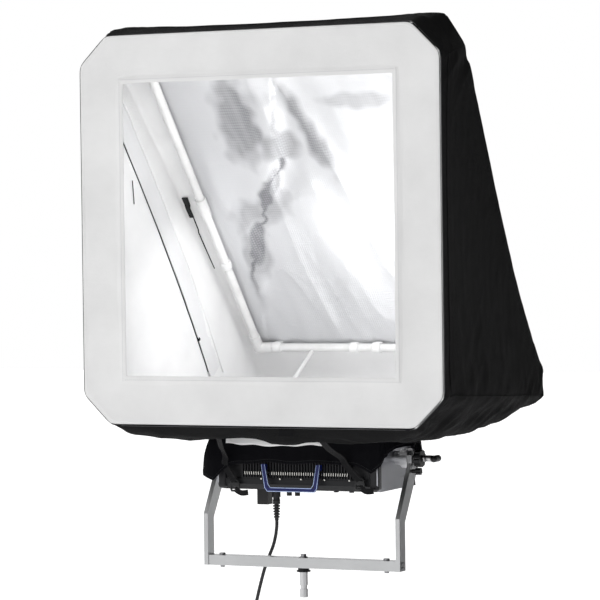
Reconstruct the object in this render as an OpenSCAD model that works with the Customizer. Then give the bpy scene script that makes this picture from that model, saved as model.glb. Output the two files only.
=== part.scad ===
// Wedge-shaped bounce softbox on a panel lamp in a cranked yoke.
// Origin: lower face of the spigot collar, on the spigot's axis. +Z is up, the open front faces -Y.

/* [Softbox] */
// Width and height of the square front
box_w = 1360; // [1300:10:1420]
// Width of the white cloth border round the window
border_w = 170; // [140:5:200]
// Length cut off each front corner along both edges
corner_cut = 103; // [80:1:120]
// Depth of the top panel
top_depth = 150; // [120:5:180]
// Rise of the top panel from its front edge to its rear edge
top_rise = 36; // [30:2:50]
// Depth of the bag at its lower rear edge
bag_depth = 1250; // [1220:5:1280]
// Thickness of each cloth panel
cloth_t = 1.5; // [1:0.5:2.5]

/* [Lamp] */
// Length of the lamp between its end faces
lamp_w = 620; // [610:2:630]
// Depth of the lamp, front to back
lamp_d = 340; // [330:2:350]
// Height of the lamp casing
lamp_h = 190; // [180:1:200]
// Spacing of the cooling fins
fin_pitch = 11; // [9:1:14]

/* [Yoke] */
// Outside width of the yoke
yoke_w = 760; // [750:1:770]
// Thickness of each yoke arm
arm_t = 16; // [12:1:17]
// Height of the crossbar
bar_h = 36; // [30:1:42]
// Height of the tilt axis above the origin
pivot_z = 400; // [390:1:410]
// Distance of the tilt axis behind the crossbar
pivot_y = 120; // [110:1:130]
// Radius of the spigot
spigot_r = 14.3; // [14:0.1:14.5]

/* [Cord] */
// Diameter of the mains cord
cord_d = 12; // [10:0.5:13]
// Number of sides of the cord's section
cord_sides = 10; // [8:1:12]

/* [Hidden] */
$fn = 48;

// Yoke
collar_h = 14;
collar_r = 25;
bar_d = 44;
arm_d = 50;
crank_z = pivot_z - 210;
bar_top = collar_h + bar_h;
arm_x = yoke_w / 2 - arm_t;
spigot_l = 90;
hub_bore_r = 8.06;

// Lamp
half_l = lamp_w / 2;
half_d = lamp_d / 2;
end_t = 12;
lamp_z = pivot_z - 110;
casing_split = lamp_z + 40;
lamp_top = lamp_z + lamp_h;
wall = 3;
cap_half = half_l - end_t - 0.5;
shell_half_d = half_d - 8;
fin_field = 213;
panel_z = lamp_z;
encoder_x = [90, 150, 210];
button_x = [80, 110, 190, 220];

// Bag outline: y runs back from the front plane, z up from the front's lower edge
front_y = -354;
base_z = 535;
toe = 0.072;
half_w = box_w / 2;
kick_top = 125;
kick_low = 12;
kick_mid = 48;
roof_z = box_w + top_rise;
rear_slope = (bag_depth - top_depth) / (roof_z - kick_top);
rear_cut = 106;
roof_cut = 50;
foot_cut = 60;
throat_z = lamp_top + 6 - base_z;
throat_x = half_l + 12;
throat_y0 = pivot_y - half_d - 12 - front_y;
throat_y1 = pivot_y + half_d + 12 - front_y;

// Bounce frame and front frame
tube_r = 16;
front_tube_r = 10;
bounce_half = 517;
bounce_gap = 62;
strut_x = half_l - 26;
bounce_low = 230;
bounce_high = 1300;
lining_gap = 4;
lining_t = 1;
window = box_w / 2 - border_w;

// Mains cord: hand-chosen route from the strain relief to the coil, in millimetres
cord_points = [
    [-141, 82, 172], [-141, 82, 155], [-143, 82, 135], [-147, 82, 112], [-156, 82, 80],
    [-171, 82, 45], [-184, 82, 15], [-194, 82, -12], [-204, 82, -45], [-214, 82, -80],
    [-224, 82, -118], [-232, 82, -150], [-238, 82, -180], [-242, 82, -210], [-243, 82, -240]
];
cord_steps = 3;
relief_l = 74;
coil_r = 66;
coil_tube = 20;
coil_centre = [-243 + coil_r + cord_d, 82, -290];
tail_points = [
    [-249, 71, -290], [-249, 71, -320], [-249, 71, -350], [-248, 72, -365], [-246, 73, -380],
    [-244, 74, -390]
];

// ---------- helpers ----------
function half_at(y) = half_w - toe * y;
function rear_y(z) = top_depth + (roof_z - z) * rear_slope;
function bag(p) = [p[0], p[1] + front_y, p[2] + base_z];
function unit(v) = v / norm(v);

// A block from its lower corner to its upper corner
module span(a, b) {
    translate(a) cube(b - a);
}

// A rod with flat ends between two points
module rod(a, b, r) {
    d = b - a;
    translate(a)
        rotate([0, acos(d[2] / norm(d)), atan2(d[1], d[0])])
            cylinder(r = r, h = norm(d));
}

// The middle of a list of points
function middle(p, i = 0, sum = [0, 0, 0]) =
    i == len(p) ? sum / len(p) : middle(p, i + 1, sum + p[i]);

// A flat panel of cloth through convex corner points, thickened towards its inner side.
// Each corner is drawn in by a small gap, so that neighbouring panels stay clear.
module panel(corners, t, gap = 3) {
    centre = middle(corners);
    points = [for (p = corners) p + gap * unit(centre - p)];
    n = len(points);
    normal = unit(cross(points[1] - points[0], points[2] - points[0]));
    inner = [for (p = points) p + normal * t];
    polyhedron(
        points = concat(points, inner),
        faces = concat(
            [for (i = [1:n - 2]) [0, i, i + 1]],
            [for (i = [1:n - 2]) [n, n + i + 1, n + i]],
            [for (i = [0:n - 1]) [i, n + i, n + (i + 1) % n]],
            [for (i = [0:n - 1]) [i, n + (i + 1) % n, (i + 1) % n]]
        )
    );
}

// Copies on the left and right
module both_sides() {
    children();
    mirror([1, 0, 0]) children();
}

// A copy mirrored through the upright plane of the tilt axis
module rear_only() {
    translate([0, 2 * pivot_y, 0]) mirror([0, 1, 0]) children();
}

// Copies in front of and behind the tilt axis
module front_and_rear() {
    children();
    rear_only() children();
}

// A cylinder lying along X
module axle(x0, x1, r) {
    translate([x0, pivot_y, pivot_z]) rotate([0, 90, 0]) cylinder(r = r, h = x1 - x0);
}

// Points of a smooth curve through a list of points
function spline(p, i, t) =
    let(
        a = p[max(i - 1, 0)], b = p[i], c = p[i + 1], d = p[min(i + 2, len(p) - 1)]
    )
    b + t / 2 * ((c - a) + t * ((2 * a - 5 * b + 4 * c - d) + t * (3 * b - a - 3 * c + d)));

// A round cord swept along a list of points
module cord(p) {
    path = concat(
        [for (i = [0:len(p) - 2], k = [0:cord_steps - 1]) spline(p, i, k / cord_steps)],
        [p[len(p) - 1]]
    );
    n = len(path);
    rings = [
        for (i = [0:n - 1])
            let(
                d = unit(path[min(i + 1, n - 1)] - path[max(i - 1, 0)]),
                u = unit(cross([0, 1, 0], d)),
                v = cross(d, u)
            )
            for (s = [0:cord_sides - 1])
                let(a = 360 * s / cord_sides)
                path[i] + cord_d / 2 * (cos(a) * u + sin(a) * v)
    ];
    polyhedron(
        points = rings,
        faces = concat(
            [[for (s = [0:cord_sides - 1]) s]],
            [[for (s = [cord_sides - 1:-1:0]) (n - 1) * cord_sides + s]],
            [
                for (i = [0:n - 2], s = [0:cord_sides - 1])
                    let(a = i * cord_sides, b = (s + 1) % cord_sides)
                    [a + s, a + cord_sides + s, a + cord_sides + b, a + b]
            ]
        )
    );
}

// ---------- yoke ----------
module spigot_pin() {
    color("silver")
        difference() {
            translate([0, 0, -spigot_l]) cylinder(r = spigot_r, h = spigot_l);
            // waist for the stand's locking screw
            translate([0, 0, -62])
                rotate_extrude()
                    polygon([[11.5, 0], [16, 0], [16, 14], [11.5, 14]]);
        }
}

module spigot_collar() {
    color("silver") {
        cylinder(r = collar_r, h = 5);
        translate([0, 0, 5]) cylinder(r = collar_r - 5, h = collar_h - 5);
    }
}

module yoke_crossbar() {
    color("gainsboro")
        difference() {
            span([-arm_x, -bar_d / 2, collar_h], [arm_x, bar_d / 2, bar_top]);
            // weight-saving channel along the rear
            span([-arm_x + 40, bar_d / 2 - 14, collar_h + 8], [-50, bar_d / 2 + 1, bar_top - 8]);
            span([50, bar_d / 2 - 14, collar_h + 8], [arm_x - 40, bar_d / 2 + 1, bar_top - 8]);
        }
}

// Arm outline in the Y-Z plane: upright below, cranked back above
module arm_profile() {
    y0 = -arm_d / 2;
    polygon([
        [y0, collar_h], [-y0, collar_h], [-y0, crank_z - 8], [pivot_y - y0 + 4, pivot_z - 34],
        [pivot_y - y0 + 4, pivot_z + 12], [pivot_y - y0 - 8, pivot_z + 26],
        [pivot_y + y0 + 8, pivot_z + 26], [pivot_y + y0 - 4, pivot_z + 12],
        [pivot_y + y0 - 4, pivot_z - 16], [y0, crank_z + 8]
    ]);
}

module yoke_arm(side) {
    x0 = side > 0 ? arm_x : -arm_x - arm_t;
    color("gainsboro")
        difference() {
            translate([x0, 0, 0])
                rotate([90, 0, 90]) linear_extrude(arm_t) arm_profile();
            axle(x0 - 1, x0 + arm_t + 1, hub_bore_r);
        }
}

module yoke_arm_left() {
    yoke_arm(-1);
}

module yoke_arm_right() {
    yoke_arm(1);
}

module yoke_bolts() {
    color("dimgray") {
        both_sides() {
            // clamp bolts over and under the bar
            translate([arm_x - 45, 0, bar_top]) cylinder(r = 11, h = 7);
            translate([arm_x - 45, 0, collar_h - 8]) cylinder(r = 9, h = 8, $fn = 6);
            // screws that hold each arm to the bar
            for (z = [collar_h + 10, bar_top - 10])
                translate([yoke_w / 2, 0, z]) rotate([0, 90, 0]) cylinder(r = 6, h = 4);
        }
        // centre bolt over the spigot
        translate([0, 0, bar_top]) cylinder(r = 15, h = 3);
        translate([0, 0, bar_top + 3]) cylinder(r = 11, h = 9, $fn = 6);
    }
}

// ---------- lamp ----------
module lamp_housing() {
    color("#17181c") {
        difference() {
            span(
                [-cap_half, pivot_y - shell_half_d, casing_split],
                [cap_half, pivot_y + shell_half_d, lamp_top - 4]
            );
            span(
                [-cap_half + wall, pivot_y - shell_half_d + wall, casing_split + wall],
                [cap_half - wall, pivot_y + shell_half_d - wall, lamp_top]
            );
        }
        // ledges that carry the light engine and the diffuser
        for (z = [pivot_z, lamp_top - 26]) {
            front_and_rear()
                span(
                    [-cap_half + wall, pivot_y - shell_half_d + wall, z],
                    [cap_half - wall, pivot_y - shell_half_d + wall + 8, z + 4]
                );
        }
    }
}

module heat_sink() {
    y0 = pivot_y - shell_half_d;
    z1 = lamp_top - 50;
    span([-fin_field, y0 - 4, casing_split + 1], [fin_field, y0 - 0.2, z1]);
    for (x = [-fin_field + 2:fin_pitch:fin_field - 4])
        span([x, y0 - 13, casing_split + 4], [x + 3, y0 - 3.9, z1]);
}

module heat_sink_front() {
    color("#101114") heat_sink();
}

module heat_sink_rear() {
    color("#101114") rear_only() heat_sink();
}

module end_panel(side) {
    x0 = side > 0 ? half_l - end_t : -half_l;
    d = half_d - 1;
    color("#2e3036")
        difference() {
            translate([x0, pivot_y, 0])
                rotate([90, 0, 90])
                    linear_extrude(end_t)
                        polygon([
                            [-d + 24, lamp_z], [d - 24, lamp_z], [d, lamp_z + 24],
                            [d, lamp_top - 16], [d - 14, lamp_top - 2], [-d + 14, lamp_top - 2],
                            [-d, lamp_top - 16], [-d, lamp_z + 24]
                        ]);
            // recess on the outside
            span(
                [side > 0 ? half_l - 3 : -half_l - 1, pivot_y + 40, lamp_z + 40],
                [side > 0 ? half_l + 1 : -half_l + 3, pivot_y + 115, lamp_z + 130]
            );
        }
}

module end_panel_left() {
    end_panel(-1);
}

module end_panel_right() {
    end_panel(1);
}

module lower_casing() {
    d = shell_half_d + 4;
    color("#34363c")
        difference() {
            translate([-cap_half, pivot_y, 0])
                rotate([90, 0, 90])
                    linear_extrude(2 * cap_half)
                        polygon([
                            [-d + 20, lamp_z], [d - 20, lamp_z], [d, lamp_z + 20],
                            [d, casing_split - 0.4], [-d, casing_split - 0.4], [-d, lamp_z + 20]
                        ]);
            span(
                [-cap_half + wall, pivot_y - d + 20, lamp_z + wall],
                [cap_half - wall, pivot_y + d - 20, casing_split]
            );
            // recess for the display
            span([-10, pivot_y - 20, lamp_z - 1], [60, pivot_y + 20, lamp_z + 1.5]);
            for (x = encoder_x)
                translate([x, pivot_y - 30, lamp_z - 1]) cylinder(r = 3.08, h = 10);
            for (x = button_x)
                translate([x, pivot_y + 30, lamp_z - 1]) cylinder(r = 4.58, h = 10);
        }
}

// U-shaped bars that stand off both long faces and protect the fins
module guard_bars() {
    y0 = pivot_y - half_d - 26;
    centre_x = -12;
    top = 113;
    low = 97;
    z1 = lamp_z + 94;
    bar = 14;
    color("#152a7a")
        front_and_rear() {
            translate([centre_x, y0 + 6, 0])
                rotate([90, 0, 0])
                    linear_extrude(6)
                        polygon([
                            [-top, z1], [-low - 5, lamp_z + 8], [-low + 5, lamp_z - 2],
                            [low - 5, lamp_z - 2], [low + 5, lamp_z + 8], [top, z1],
                            [top - bar, z1], [low - 8, lamp_z + bar - 2],
                            [-low + 8, lamp_z + bar - 2], [-top + bar, z1]
                        ]);
            for (x = [centre_x - top, centre_x + top - bar])
                span([x, y0 + 6, z1 - 20], [x + bar, pivot_y - shell_half_d - 13.2, z1]);
        }
}

module light_engine() {
    color("gold") {
        span(
            [-cap_half + 6, pivot_y - shell_half_d + 6, pivot_z + 4.3],
            [cap_half - 6, pivot_y + shell_half_d - 6, pivot_z + 8]
        );
        for (x = [-250:50:250], y = [-120:40:120])
            translate([x, pivot_y + y, pivot_z + 8]) cylinder(r = 5, h = 2, $fn = 16);
    }
}

module diffuser_panel() {
    color("white")
        span(
            [-cap_half + 5, pivot_y - shell_half_d + 5, lamp_top - 21.7],
            [cap_half - 5, pivot_y + shell_half_d - 5, lamp_top - 17]
        );
}

module power_supply() {
    color("silver")
        span(
            [-280, pivot_y - 90, lamp_z + wall + 0.3],
            [-205, pivot_y + 90, casing_split - 4]
        );
}

module driver_board() {
    z0 = lamp_z + 24;
    color("darkgreen") {
        span([-30, pivot_y - 80, z0], [280, pivot_y + 80, z0 + 2]);
        for (x = [20:60:260])
            span([x, pivot_y - 30, z0 + 2], [x + 30, pivot_y + 10, z0 + 9]);
    }
}

// Seven-bladed rotor under the light engine
module fan(x) {
    z0 = casing_split + 14;
    color("black")
        translate([x, pivot_y, z0]) {
            cylinder(r = 18, h = 20);
            for (a = [0:360 / 7:359])
                rotate([0, 0, a]) translate([16, -2, 3]) rotate([28, 0, 0]) cube([36, 3, 14]);
        }
}

module fan_left() {
    fan(-160);
}

module fan_right() {
    fan(160);
}

// Stepped hub on the lamp's end with the pin that turns in the arm
module tilt_hub() {
    color("silver") {
        axle(half_l + 0.3, half_l + 26, 24);
        axle(half_l + 26, arm_x - 0.4, 36);
        axle(arm_x - 0.4, yoke_w / 2 + 6, 8);
    }
}

module tilt_hub_left() {
    mirror([1, 0, 0]) tilt_hub();
}

module tilt_hub_right() {
    tilt_hub();
}

// Ring of shallow grip notches round a knob
module fluted(x0, x1, r, n) {
    difference() {
        axle(x0, x1, r);
        for (a = [0:360 / n:359])
            translate([x0 - 1, pivot_y + (r + 3) * cos(a), pivot_z + (r + 3) * sin(a)])
                rotate([0, 90, 0]) cylinder(r = 6, h = x1 - x0 + 2, $fn = 24);
    }
}

module tilt_lock_handle() {
    x0 = yoke_w / 2 + 6.3;
    color("#1b1c20") {
        fluted(x0, x0 + 24, 31, 10);
        axle(x0 + 24, x0 + 66, 11);
        hull()
            for (y = [-20, 20])
                translate([x0 + 74, pivot_y + y, pivot_z]) sphere(r = 12, $fn = 32);
    }
}

module tilt_knob_left() {
    x0 = yoke_w / 2 + 6.3;
    color("#1b1c20") mirror([1, 0, 0]) {
        fluted(x0, x0 + 22, 24, 8);
        axle(x0 + 22, x0 + 40, 14);
    }
}

module tilt_lever_left() {
    x1 = -yoke_w / 2 - 47;
    color("lightgray") {
        axle(x1 - 8, x1, 12);
        translate([x1 - 8, pivot_y - 7, pivot_z - 66]) cube([6, 14, 60]);
        translate([x1 - 8, pivot_y, pivot_z - 66]) rotate([0, 90, 0]) cylinder(r = 9, h = 6);
    }
}

module lock_knob_right() {
    x0 = yoke_w / 2 + 0.4;
    color("#1b1c20")
        translate([0, -24, -44]) {
            axle(x0, x0 + 14, 7);
            fluted(x0 + 14, x0 + 34, 13, 8);
        }
}

module encoder(x) {
    color("#1b1c20")
        translate([x, pivot_y - 30, 0]) {
            translate([0, 0, panel_z - 14.5]) cylinder(r = 9, h = 14);
            translate([0, 0, panel_z - 1]) cylinder(r = 3, h = 10);
        }
}

module encoder_a() {
    encoder(encoder_x[0]);
}

module encoder_b() {
    encoder(encoder_x[1]);
}

module encoder_c() {
    encoder(encoder_x[2]);
}

module push_button(x) {
    color("gray")
        translate([x, pivot_y + 30, panel_z - 3]) cylinder(r = 4.5, h = 12);
}

module button_a() {
    push_button(button_x[0]);
}

module button_b() {
    push_button(button_x[1]);
}

module button_c() {
    push_button(button_x[2]);
}

module button_d() {
    push_button(button_x[3]);
}

module display_window() {
    color("midnightblue")
        span([-9.7, pivot_y - 19.7, panel_z - 0.5], [59.7, pivot_y + 19.7, panel_z + 1.3]);
}

module data_sockets() {
    color("silver") {
        for (x = [-90, -58]) {
            translate([x, pivot_y - 38, panel_z - 4]) cylinder(r = 13, h = 3.8);
            translate([x, pivot_y - 38, panel_z - 30]) cylinder(r = 9.5, h = 26.5);
        }
        span([-206, pivot_y - 62, panel_z - 62], [-164, pivot_y - 22, panel_z - 0.2]);
    }
}

// Round locking connector that the cord ends in
module power_connector() {
    low = cord_points[0] + [0, 0, relief_l];
    top = panel_z - 0.2 - low[2];
    color("#101114")
        translate(low) {
            translate([0, 0, top - 4]) cylinder(r = 20, h = 4);
            translate([0, 0, 8]) cylinder(r = 15, h = top - 12);
            cylinder(r = 12, h = 8);
        }
}

// Ribbed, tapered sleeve under the connector
module strain_relief() {
    low = cord_points[0];
    color("#101114") {
        translate(low + [0, 0, 0.3]) cylinder(r1 = 8, r2 = 10, h = relief_l - 0.5, $fn = 32);
        for (z = [8:8:relief_l - 10])
            translate(low + [0, 0, z]) cylinder(r = 9.5 + 2.5 * z / relief_l, h = 3);
    }
}

// ---------- mains cord ----------
module mains_cord() {
    color("#1c1d20") cord(cord_points);
}

module mains_coil() {
    color("#1c1d20")
        translate(coil_centre)
            rotate([90, 0, 0])
                rotate_extrude() translate([coil_r, 0]) circle(r = coil_tube);
}

module cord_tail() {
    color("#1c1d20") cord(tail_points);
}

module cord_tie() {
    color("#2c2d30")
        translate(coil_centre + [0, 0, coil_r]) rotate([0, 90, 0])
            difference() {
                span([-coil_tube - 3, -coil_tube - 3, -10], [coil_tube + 3, coil_tube + 3, 10]);
                span([-coil_tube - 1, -coil_tube - 1, -11], [coil_tube + 1, coil_tube + 1, 11]);
            }
}

module mains_plug() {
    color("#1c1d20")
        translate(tail_points[len(tail_points) - 1]) {
            translate([0, 0, -24]) cylinder(r1 = 12, r2 = 7, h = 24, $fn = 32);
            translate([0, 0, -58]) cylinder(r = 19, h = 34);
            for (x = [-9.5, 9.5])
                translate([x, 0, -77]) cylinder(r = 2.4, h = 19.2, $fn = 24);
        }
}

// ---------- softbox frame ----------
module base_ring() {
    z0 = lamp_top - 1.5;
    color("gray")
        difference() {
            span(
                [-half_l, pivot_y - half_d, z0],
                [half_l, pivot_y + half_d, z0 + 5]
            );
            span(
                [-half_l + 26, pivot_y - half_d + 26, z0 - 1],
                [half_l - 26, pivot_y + half_d - 26, z0 + 6]
            );
        }
}

// Flat struts from the ring to the lower tubes of both frames
module ring_struts() {
    z0 = lamp_top + 4 - base_z;
    color("gray")
        both_sides() {
            rod(
                bag([strut_x, throat_y0 + 20, z0 + 8]),
                bag([strut_x, front_tube_r * 3.4, front_tube_r * 2 + 2]), 7
            );
            rod(
                bag([strut_x, throat_y1 - 20, z0 + 8]),
                bag([strut_x, rear_y(bounce_low) - bounce_gap - 22, bounce_low - 14]), 7
            );
        }
}

module front_frame() {
    r = front_tube_r;
    m = half_w - r - 12;
    c = corner_cut * 0.9;
    y = r + 8;
    low = r + 12;
    high = box_w - r - 12;
    corners = [
        [m - c, y, low], [m, y, low + c], [m, y, high - c], [m - c, y, high],
        [-m + c, y, high], [-m, y, high - c], [-m, y, low + c], [-m + c, y, low]
    ];
    color("white")
        for (i = [0:7]) {
            rod(bag(corners[i]), bag(corners[(i + 1) % 8]), r);
            translate(bag(corners[i])) sphere(r = r + 2.5);
        }
}

module bounce_frame() {
    high = [bounce_half, rear_y(bounce_high) - bounce_gap, bounce_high];
    low = [bounce_half, rear_y(bounce_low) - bounce_gap, bounce_low];
    along = unit(high - low);
    color("white") {
        for (p = [high, low]) {
            rod(bag([-bounce_half, p[1], p[2]]), bag(p), tube_r);
            both_sides() translate(bag(p)) sphere(r = tube_r + 6);
        }
        both_sides() {
            rod(bag(low), bag(high), tube_r);
            // sleeves of the corner elbows and the joint at mid height
            rod(bag(low), bag(low + 60 * along), tube_r + 4);
            rod(bag(high), bag(high - 60 * along), tube_r + 4);
            rod(bag((low + high) / 2 - 40 * along), bag((low + high) / 2 + 40 * along), tube_r + 4);
            rod(bag(low), bag(low - [60, 0, 0]), tube_r + 4);
            rod(bag(high), bag(high - [60, 0, 0]), tube_r + 4);
        }
    }
}

module bounce_sheet() {
    gap = 26;
    z0 = bounce_low - 10;
    z1 = bounce_high + 12;
    x = bounce_half + 10;
    color("silver")
        panel(
            [
                bag([-x, rear_y(z0) - gap, z0]), bag([x, rear_y(z0) - gap, z0]),
                bag([x, rear_y(z1) - gap, z1]), bag([-x, rear_y(z1) - gap, z1])
            ],
            cloth_t
        );
}

// Tubes that hold the bounce frame's top away from the front frame
module brace_tubes() {
    color("white")
        both_sides()
            rod(
                bag([half_w - 110, 34, box_w - 40]),
                bag([bounce_half - 4, rear_y(bounce_high) - bounce_gap - 26, bounce_high + 6]), 9
            );
}

// ---------- softbox cloth ----------
// White border with a square window and cut corners
module front_border() {
    w = half_w;
    c = corner_cut;
    color("whitesmoke")
        translate([0, front_y + cloth_t, base_z])
            rotate([90, 0, 0])
                linear_extrude(cloth_t)
                    difference() {
                        polygon([
                            [-w + c, 0], [w - c, 0], [w, c], [w, box_w - c], [w - c, box_w],
                            [-w + c, box_w], [-w, box_w - c], [-w, c]
                        ]);
                        translate([-window, border_w]) square(2 * window);
                    }
}

// A point on the right side of the bag, drawn in from the side and from the rear
function side_point(y, z, inset, back) = bag([half_at(y) - inset, y - back, z]);

// Corner points of the right side of the bag
function side_outline(inset, y0, back = 0) = [
    side_point(y0, corner_cut, inset, 0),
    side_point(y0, box_w - corner_cut, inset, 0),
    side_point(rear_y(roof_z - rear_cut), roof_z - rear_cut, inset, back),
    side_point(bag_depth, kick_top, inset, back),
    side_point(bag_depth - 6, kick_mid, inset, back)
];

module shell_sides() {
    color("#1a1b1e")
        both_sides() panel(side_outline(0, cloth_t + 0.5), cloth_t);
}

// Facets between the side panels and the top and bottom panels
module shell_corners() {
    side = side_outline(0, cloth_t + 0.5);
    top_front = bag([half_w - corner_cut, cloth_t + 0.5, box_w]);
    top_rear = bag([half_at(top_depth) - roof_cut, top_depth, roof_z]);
    low_front = bag([half_w - corner_cut, cloth_t + 0.5, 0]);
    low_rear = bag([half_at(bag_depth) - foot_cut, bag_depth - 10, kick_low]);
    color("#1a1b1e")
        both_sides() {
            panel([side[1], top_front, top_rear, side[2]], cloth_t);
            panel([low_front, side[0], side[4], low_rear], cloth_t);
        }
}

module shell_top() {
    x0 = half_w - corner_cut;
    x1 = half_at(top_depth) - roof_cut;
    y0 = cloth_t + 0.5;
    color("#1a1b1e")
        panel(
            [
                bag([-x0, y0, box_w]), bag([-x1, top_depth, roof_z]),
                bag([x1, top_depth, roof_z]), bag([x0, y0, box_w])
            ],
            cloth_t
        );
}

module shell_rear() {
    x1 = half_at(top_depth) - roof_cut;
    z2 = roof_z - rear_cut;
    x2 = half_at(rear_y(z2)) - 4;
    x3 = half_at(bag_depth) - 4;
    color("#1a1b1e")
        panel(
            [
                bag([-x1, top_depth + 2, roof_z - 2]), bag([-x2, rear_y(z2), z2]),
                bag([-x3, bag_depth, kick_top + 2]), bag([x3, bag_depth, kick_top + 2]),
                bag([x2, rear_y(z2), z2]), bag([x1, top_depth + 2, roof_z - 2])
            ],
            cloth_t
        );
}

module shell_kick() {
    x = half_at(bag_depth);
    x2 = x - foot_cut - 2;
    color("#1a1b1e")
        panel(
            [
                bag([-x + 4, bag_depth, kick_top - 2]), bag([-x + 4, bag_depth - 6, kick_mid]),
                bag([-x2, bag_depth - 10, kick_low + 2]), bag([x2, bag_depth - 10, kick_low + 2]),
                bag([x - 4, bag_depth - 6, kick_mid]), bag([x - 4, bag_depth, kick_top - 2])
            ],
            cloth_t
        );
}

// Four panels that close the underside down to the lamp's throat
module shell_bottom() {
    xf = half_w - corner_cut;
    xr = half_at(bag_depth) - foot_cut - 2;
    yr = bag_depth - 14;
    y0 = cloth_t + 0.5;
    z0 = throat_z;
    gap = 2;
    color("#1a1b1e") {
        panel(
            [
                bag([xf - gap, y0, 0]), bag([-xf + gap, y0, 0]),
                bag([-throat_x + gap, throat_y0, z0]), bag([throat_x - gap, throat_y0, z0])
            ],
            cloth_t
        );
        panel(
            [
                bag([-xr + gap, yr, kick_low]), bag([xr - gap, yr, kick_low]),
                bag([throat_x - gap, throat_y1, z0]), bag([-throat_x + gap, throat_y1, z0])
            ],
            cloth_t
        );
        both_sides() {
            panel([
                bag([xf, y0 + gap, 0]), bag([throat_x, throat_y0, z0]), bag([xr, yr - gap, kick_low])
            ], cloth_t);
            panel([
                bag([throat_x, throat_y0 + 2, z0]), bag([throat_x, throat_y1, z0]),
                bag([xr, yr - gap - 2, kick_low])
            ], cloth_t);
        }
    }
}

// Cloth skirt that hugs the lamp below the throat
module collar_skirt() {
    z1 = lamp_top + 4;
    x = half_l + 3;
    d = half_d + 6;
    low = pivot_z - 14;
    color("#1a1b1e") {
        front_and_rear()
            span([-x, pivot_y - d - 2.5, low], [x, pivot_y - d, z1]);
        both_sides()
            span([x, pivot_y - d, pivot_z + 40], [x + 2.5, pivot_y + d, z1]);
    }
}

module lining_sides() {
    color("white")
        both_sides() panel(side_outline(cloth_t + lining_gap, 40, 12), lining_t);
}

module lining_top() {
    drop = cloth_t + lining_gap;
    x = half_w - corner_cut - 14;
    color("white")
        panel(
            [
                bag([-x, 40, box_w + 40 * top_rise / top_depth - drop]),
                bag([-x, top_depth - 12, roof_z - 5 - drop]),
                bag([x, top_depth - 12, roof_z - 5 - drop]),
                bag([x, 40, box_w + 40 * top_rise / top_depth - drop])
            ],
            lining_t
        );
}

// Flat webbing from one point to the next
module webbing(points, w) {
    for (i = [0:len(points) - 2])
        hull()
            for (p = [points[i], points[i + 1]])
                translate(p - [w / 2, 1, 1]) cube([w, 2, 2]);
}

module straps() {
    y = pivot_y - half_d - 13;
    hem = [front_y + 60, base_z - 44];
    color("#26272b")
        front_and_rear() {
            webbing([[-200, hem[0], hem[1]], [-262, y, base_z - 150], [-235, y, 330]], 25);
            webbing([[272, hem[0], hem[1]], [220, y, base_z - 150], [248, y, 345]], 25);
        }
}

// Side-release buckles at the ends of the straps
module strap_buckles() {
    y = pivot_y - half_d - 13;
    color("black")
        front_and_rear()
            for (p = [[-235, 308], [248, 323]]) {
                span([p[0] - 17, y - 5, p[1] - 20], [p[0] + 17, y + 4, p[1] + 4]);
                span([p[0] - 13, y - 4, p[1] + 5], [p[0] + 13, y + 3, p[1] + 20]);
            }
}

// Blank patch sewn under the front's lower edge
module label_patch() {
    color("dimgray")
        span([75, front_y + 1, base_z - 31], [129, front_y + 3, base_z - 10]);
}

spigot_pin();
spigot_collar();
yoke_crossbar();
yoke_arm_left();
yoke_arm_right();
yoke_bolts();
lamp_housing();
heat_sink_front();
heat_sink_rear();
end_panel_left();
end_panel_right();
lower_casing();
guard_bars();
light_engine();
diffuser_panel();
power_supply();
driver_board();
fan_left();
fan_right();
tilt_hub_left();
tilt_hub_right();
tilt_lock_handle();
tilt_knob_left();
tilt_lever_left();
lock_knob_right();
encoder_a();
encoder_b();
encoder_c();
button_a();
button_b();
button_c();
button_d();
display_window();
data_sockets();
power_connector();
strain_relief();
mains_cord();
mains_coil();
cord_tail();
cord_tie();
mains_plug();
base_ring();
ring_struts();
collar_skirt();
front_frame();
bounce_frame();
bounce_sheet();
brace_tubes();
front_border();
shell_sides();
shell_corners();
shell_top();
shell_rear();
shell_kick();
shell_bottom();
lining_sides();
lining_top();
straps();
strap_buckles();
label_patch();
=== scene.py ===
import math

import bmesh
import bpy
from mathutils import Matrix, Vector, noise
from mathutils.bvhtree import BVHTree


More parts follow.
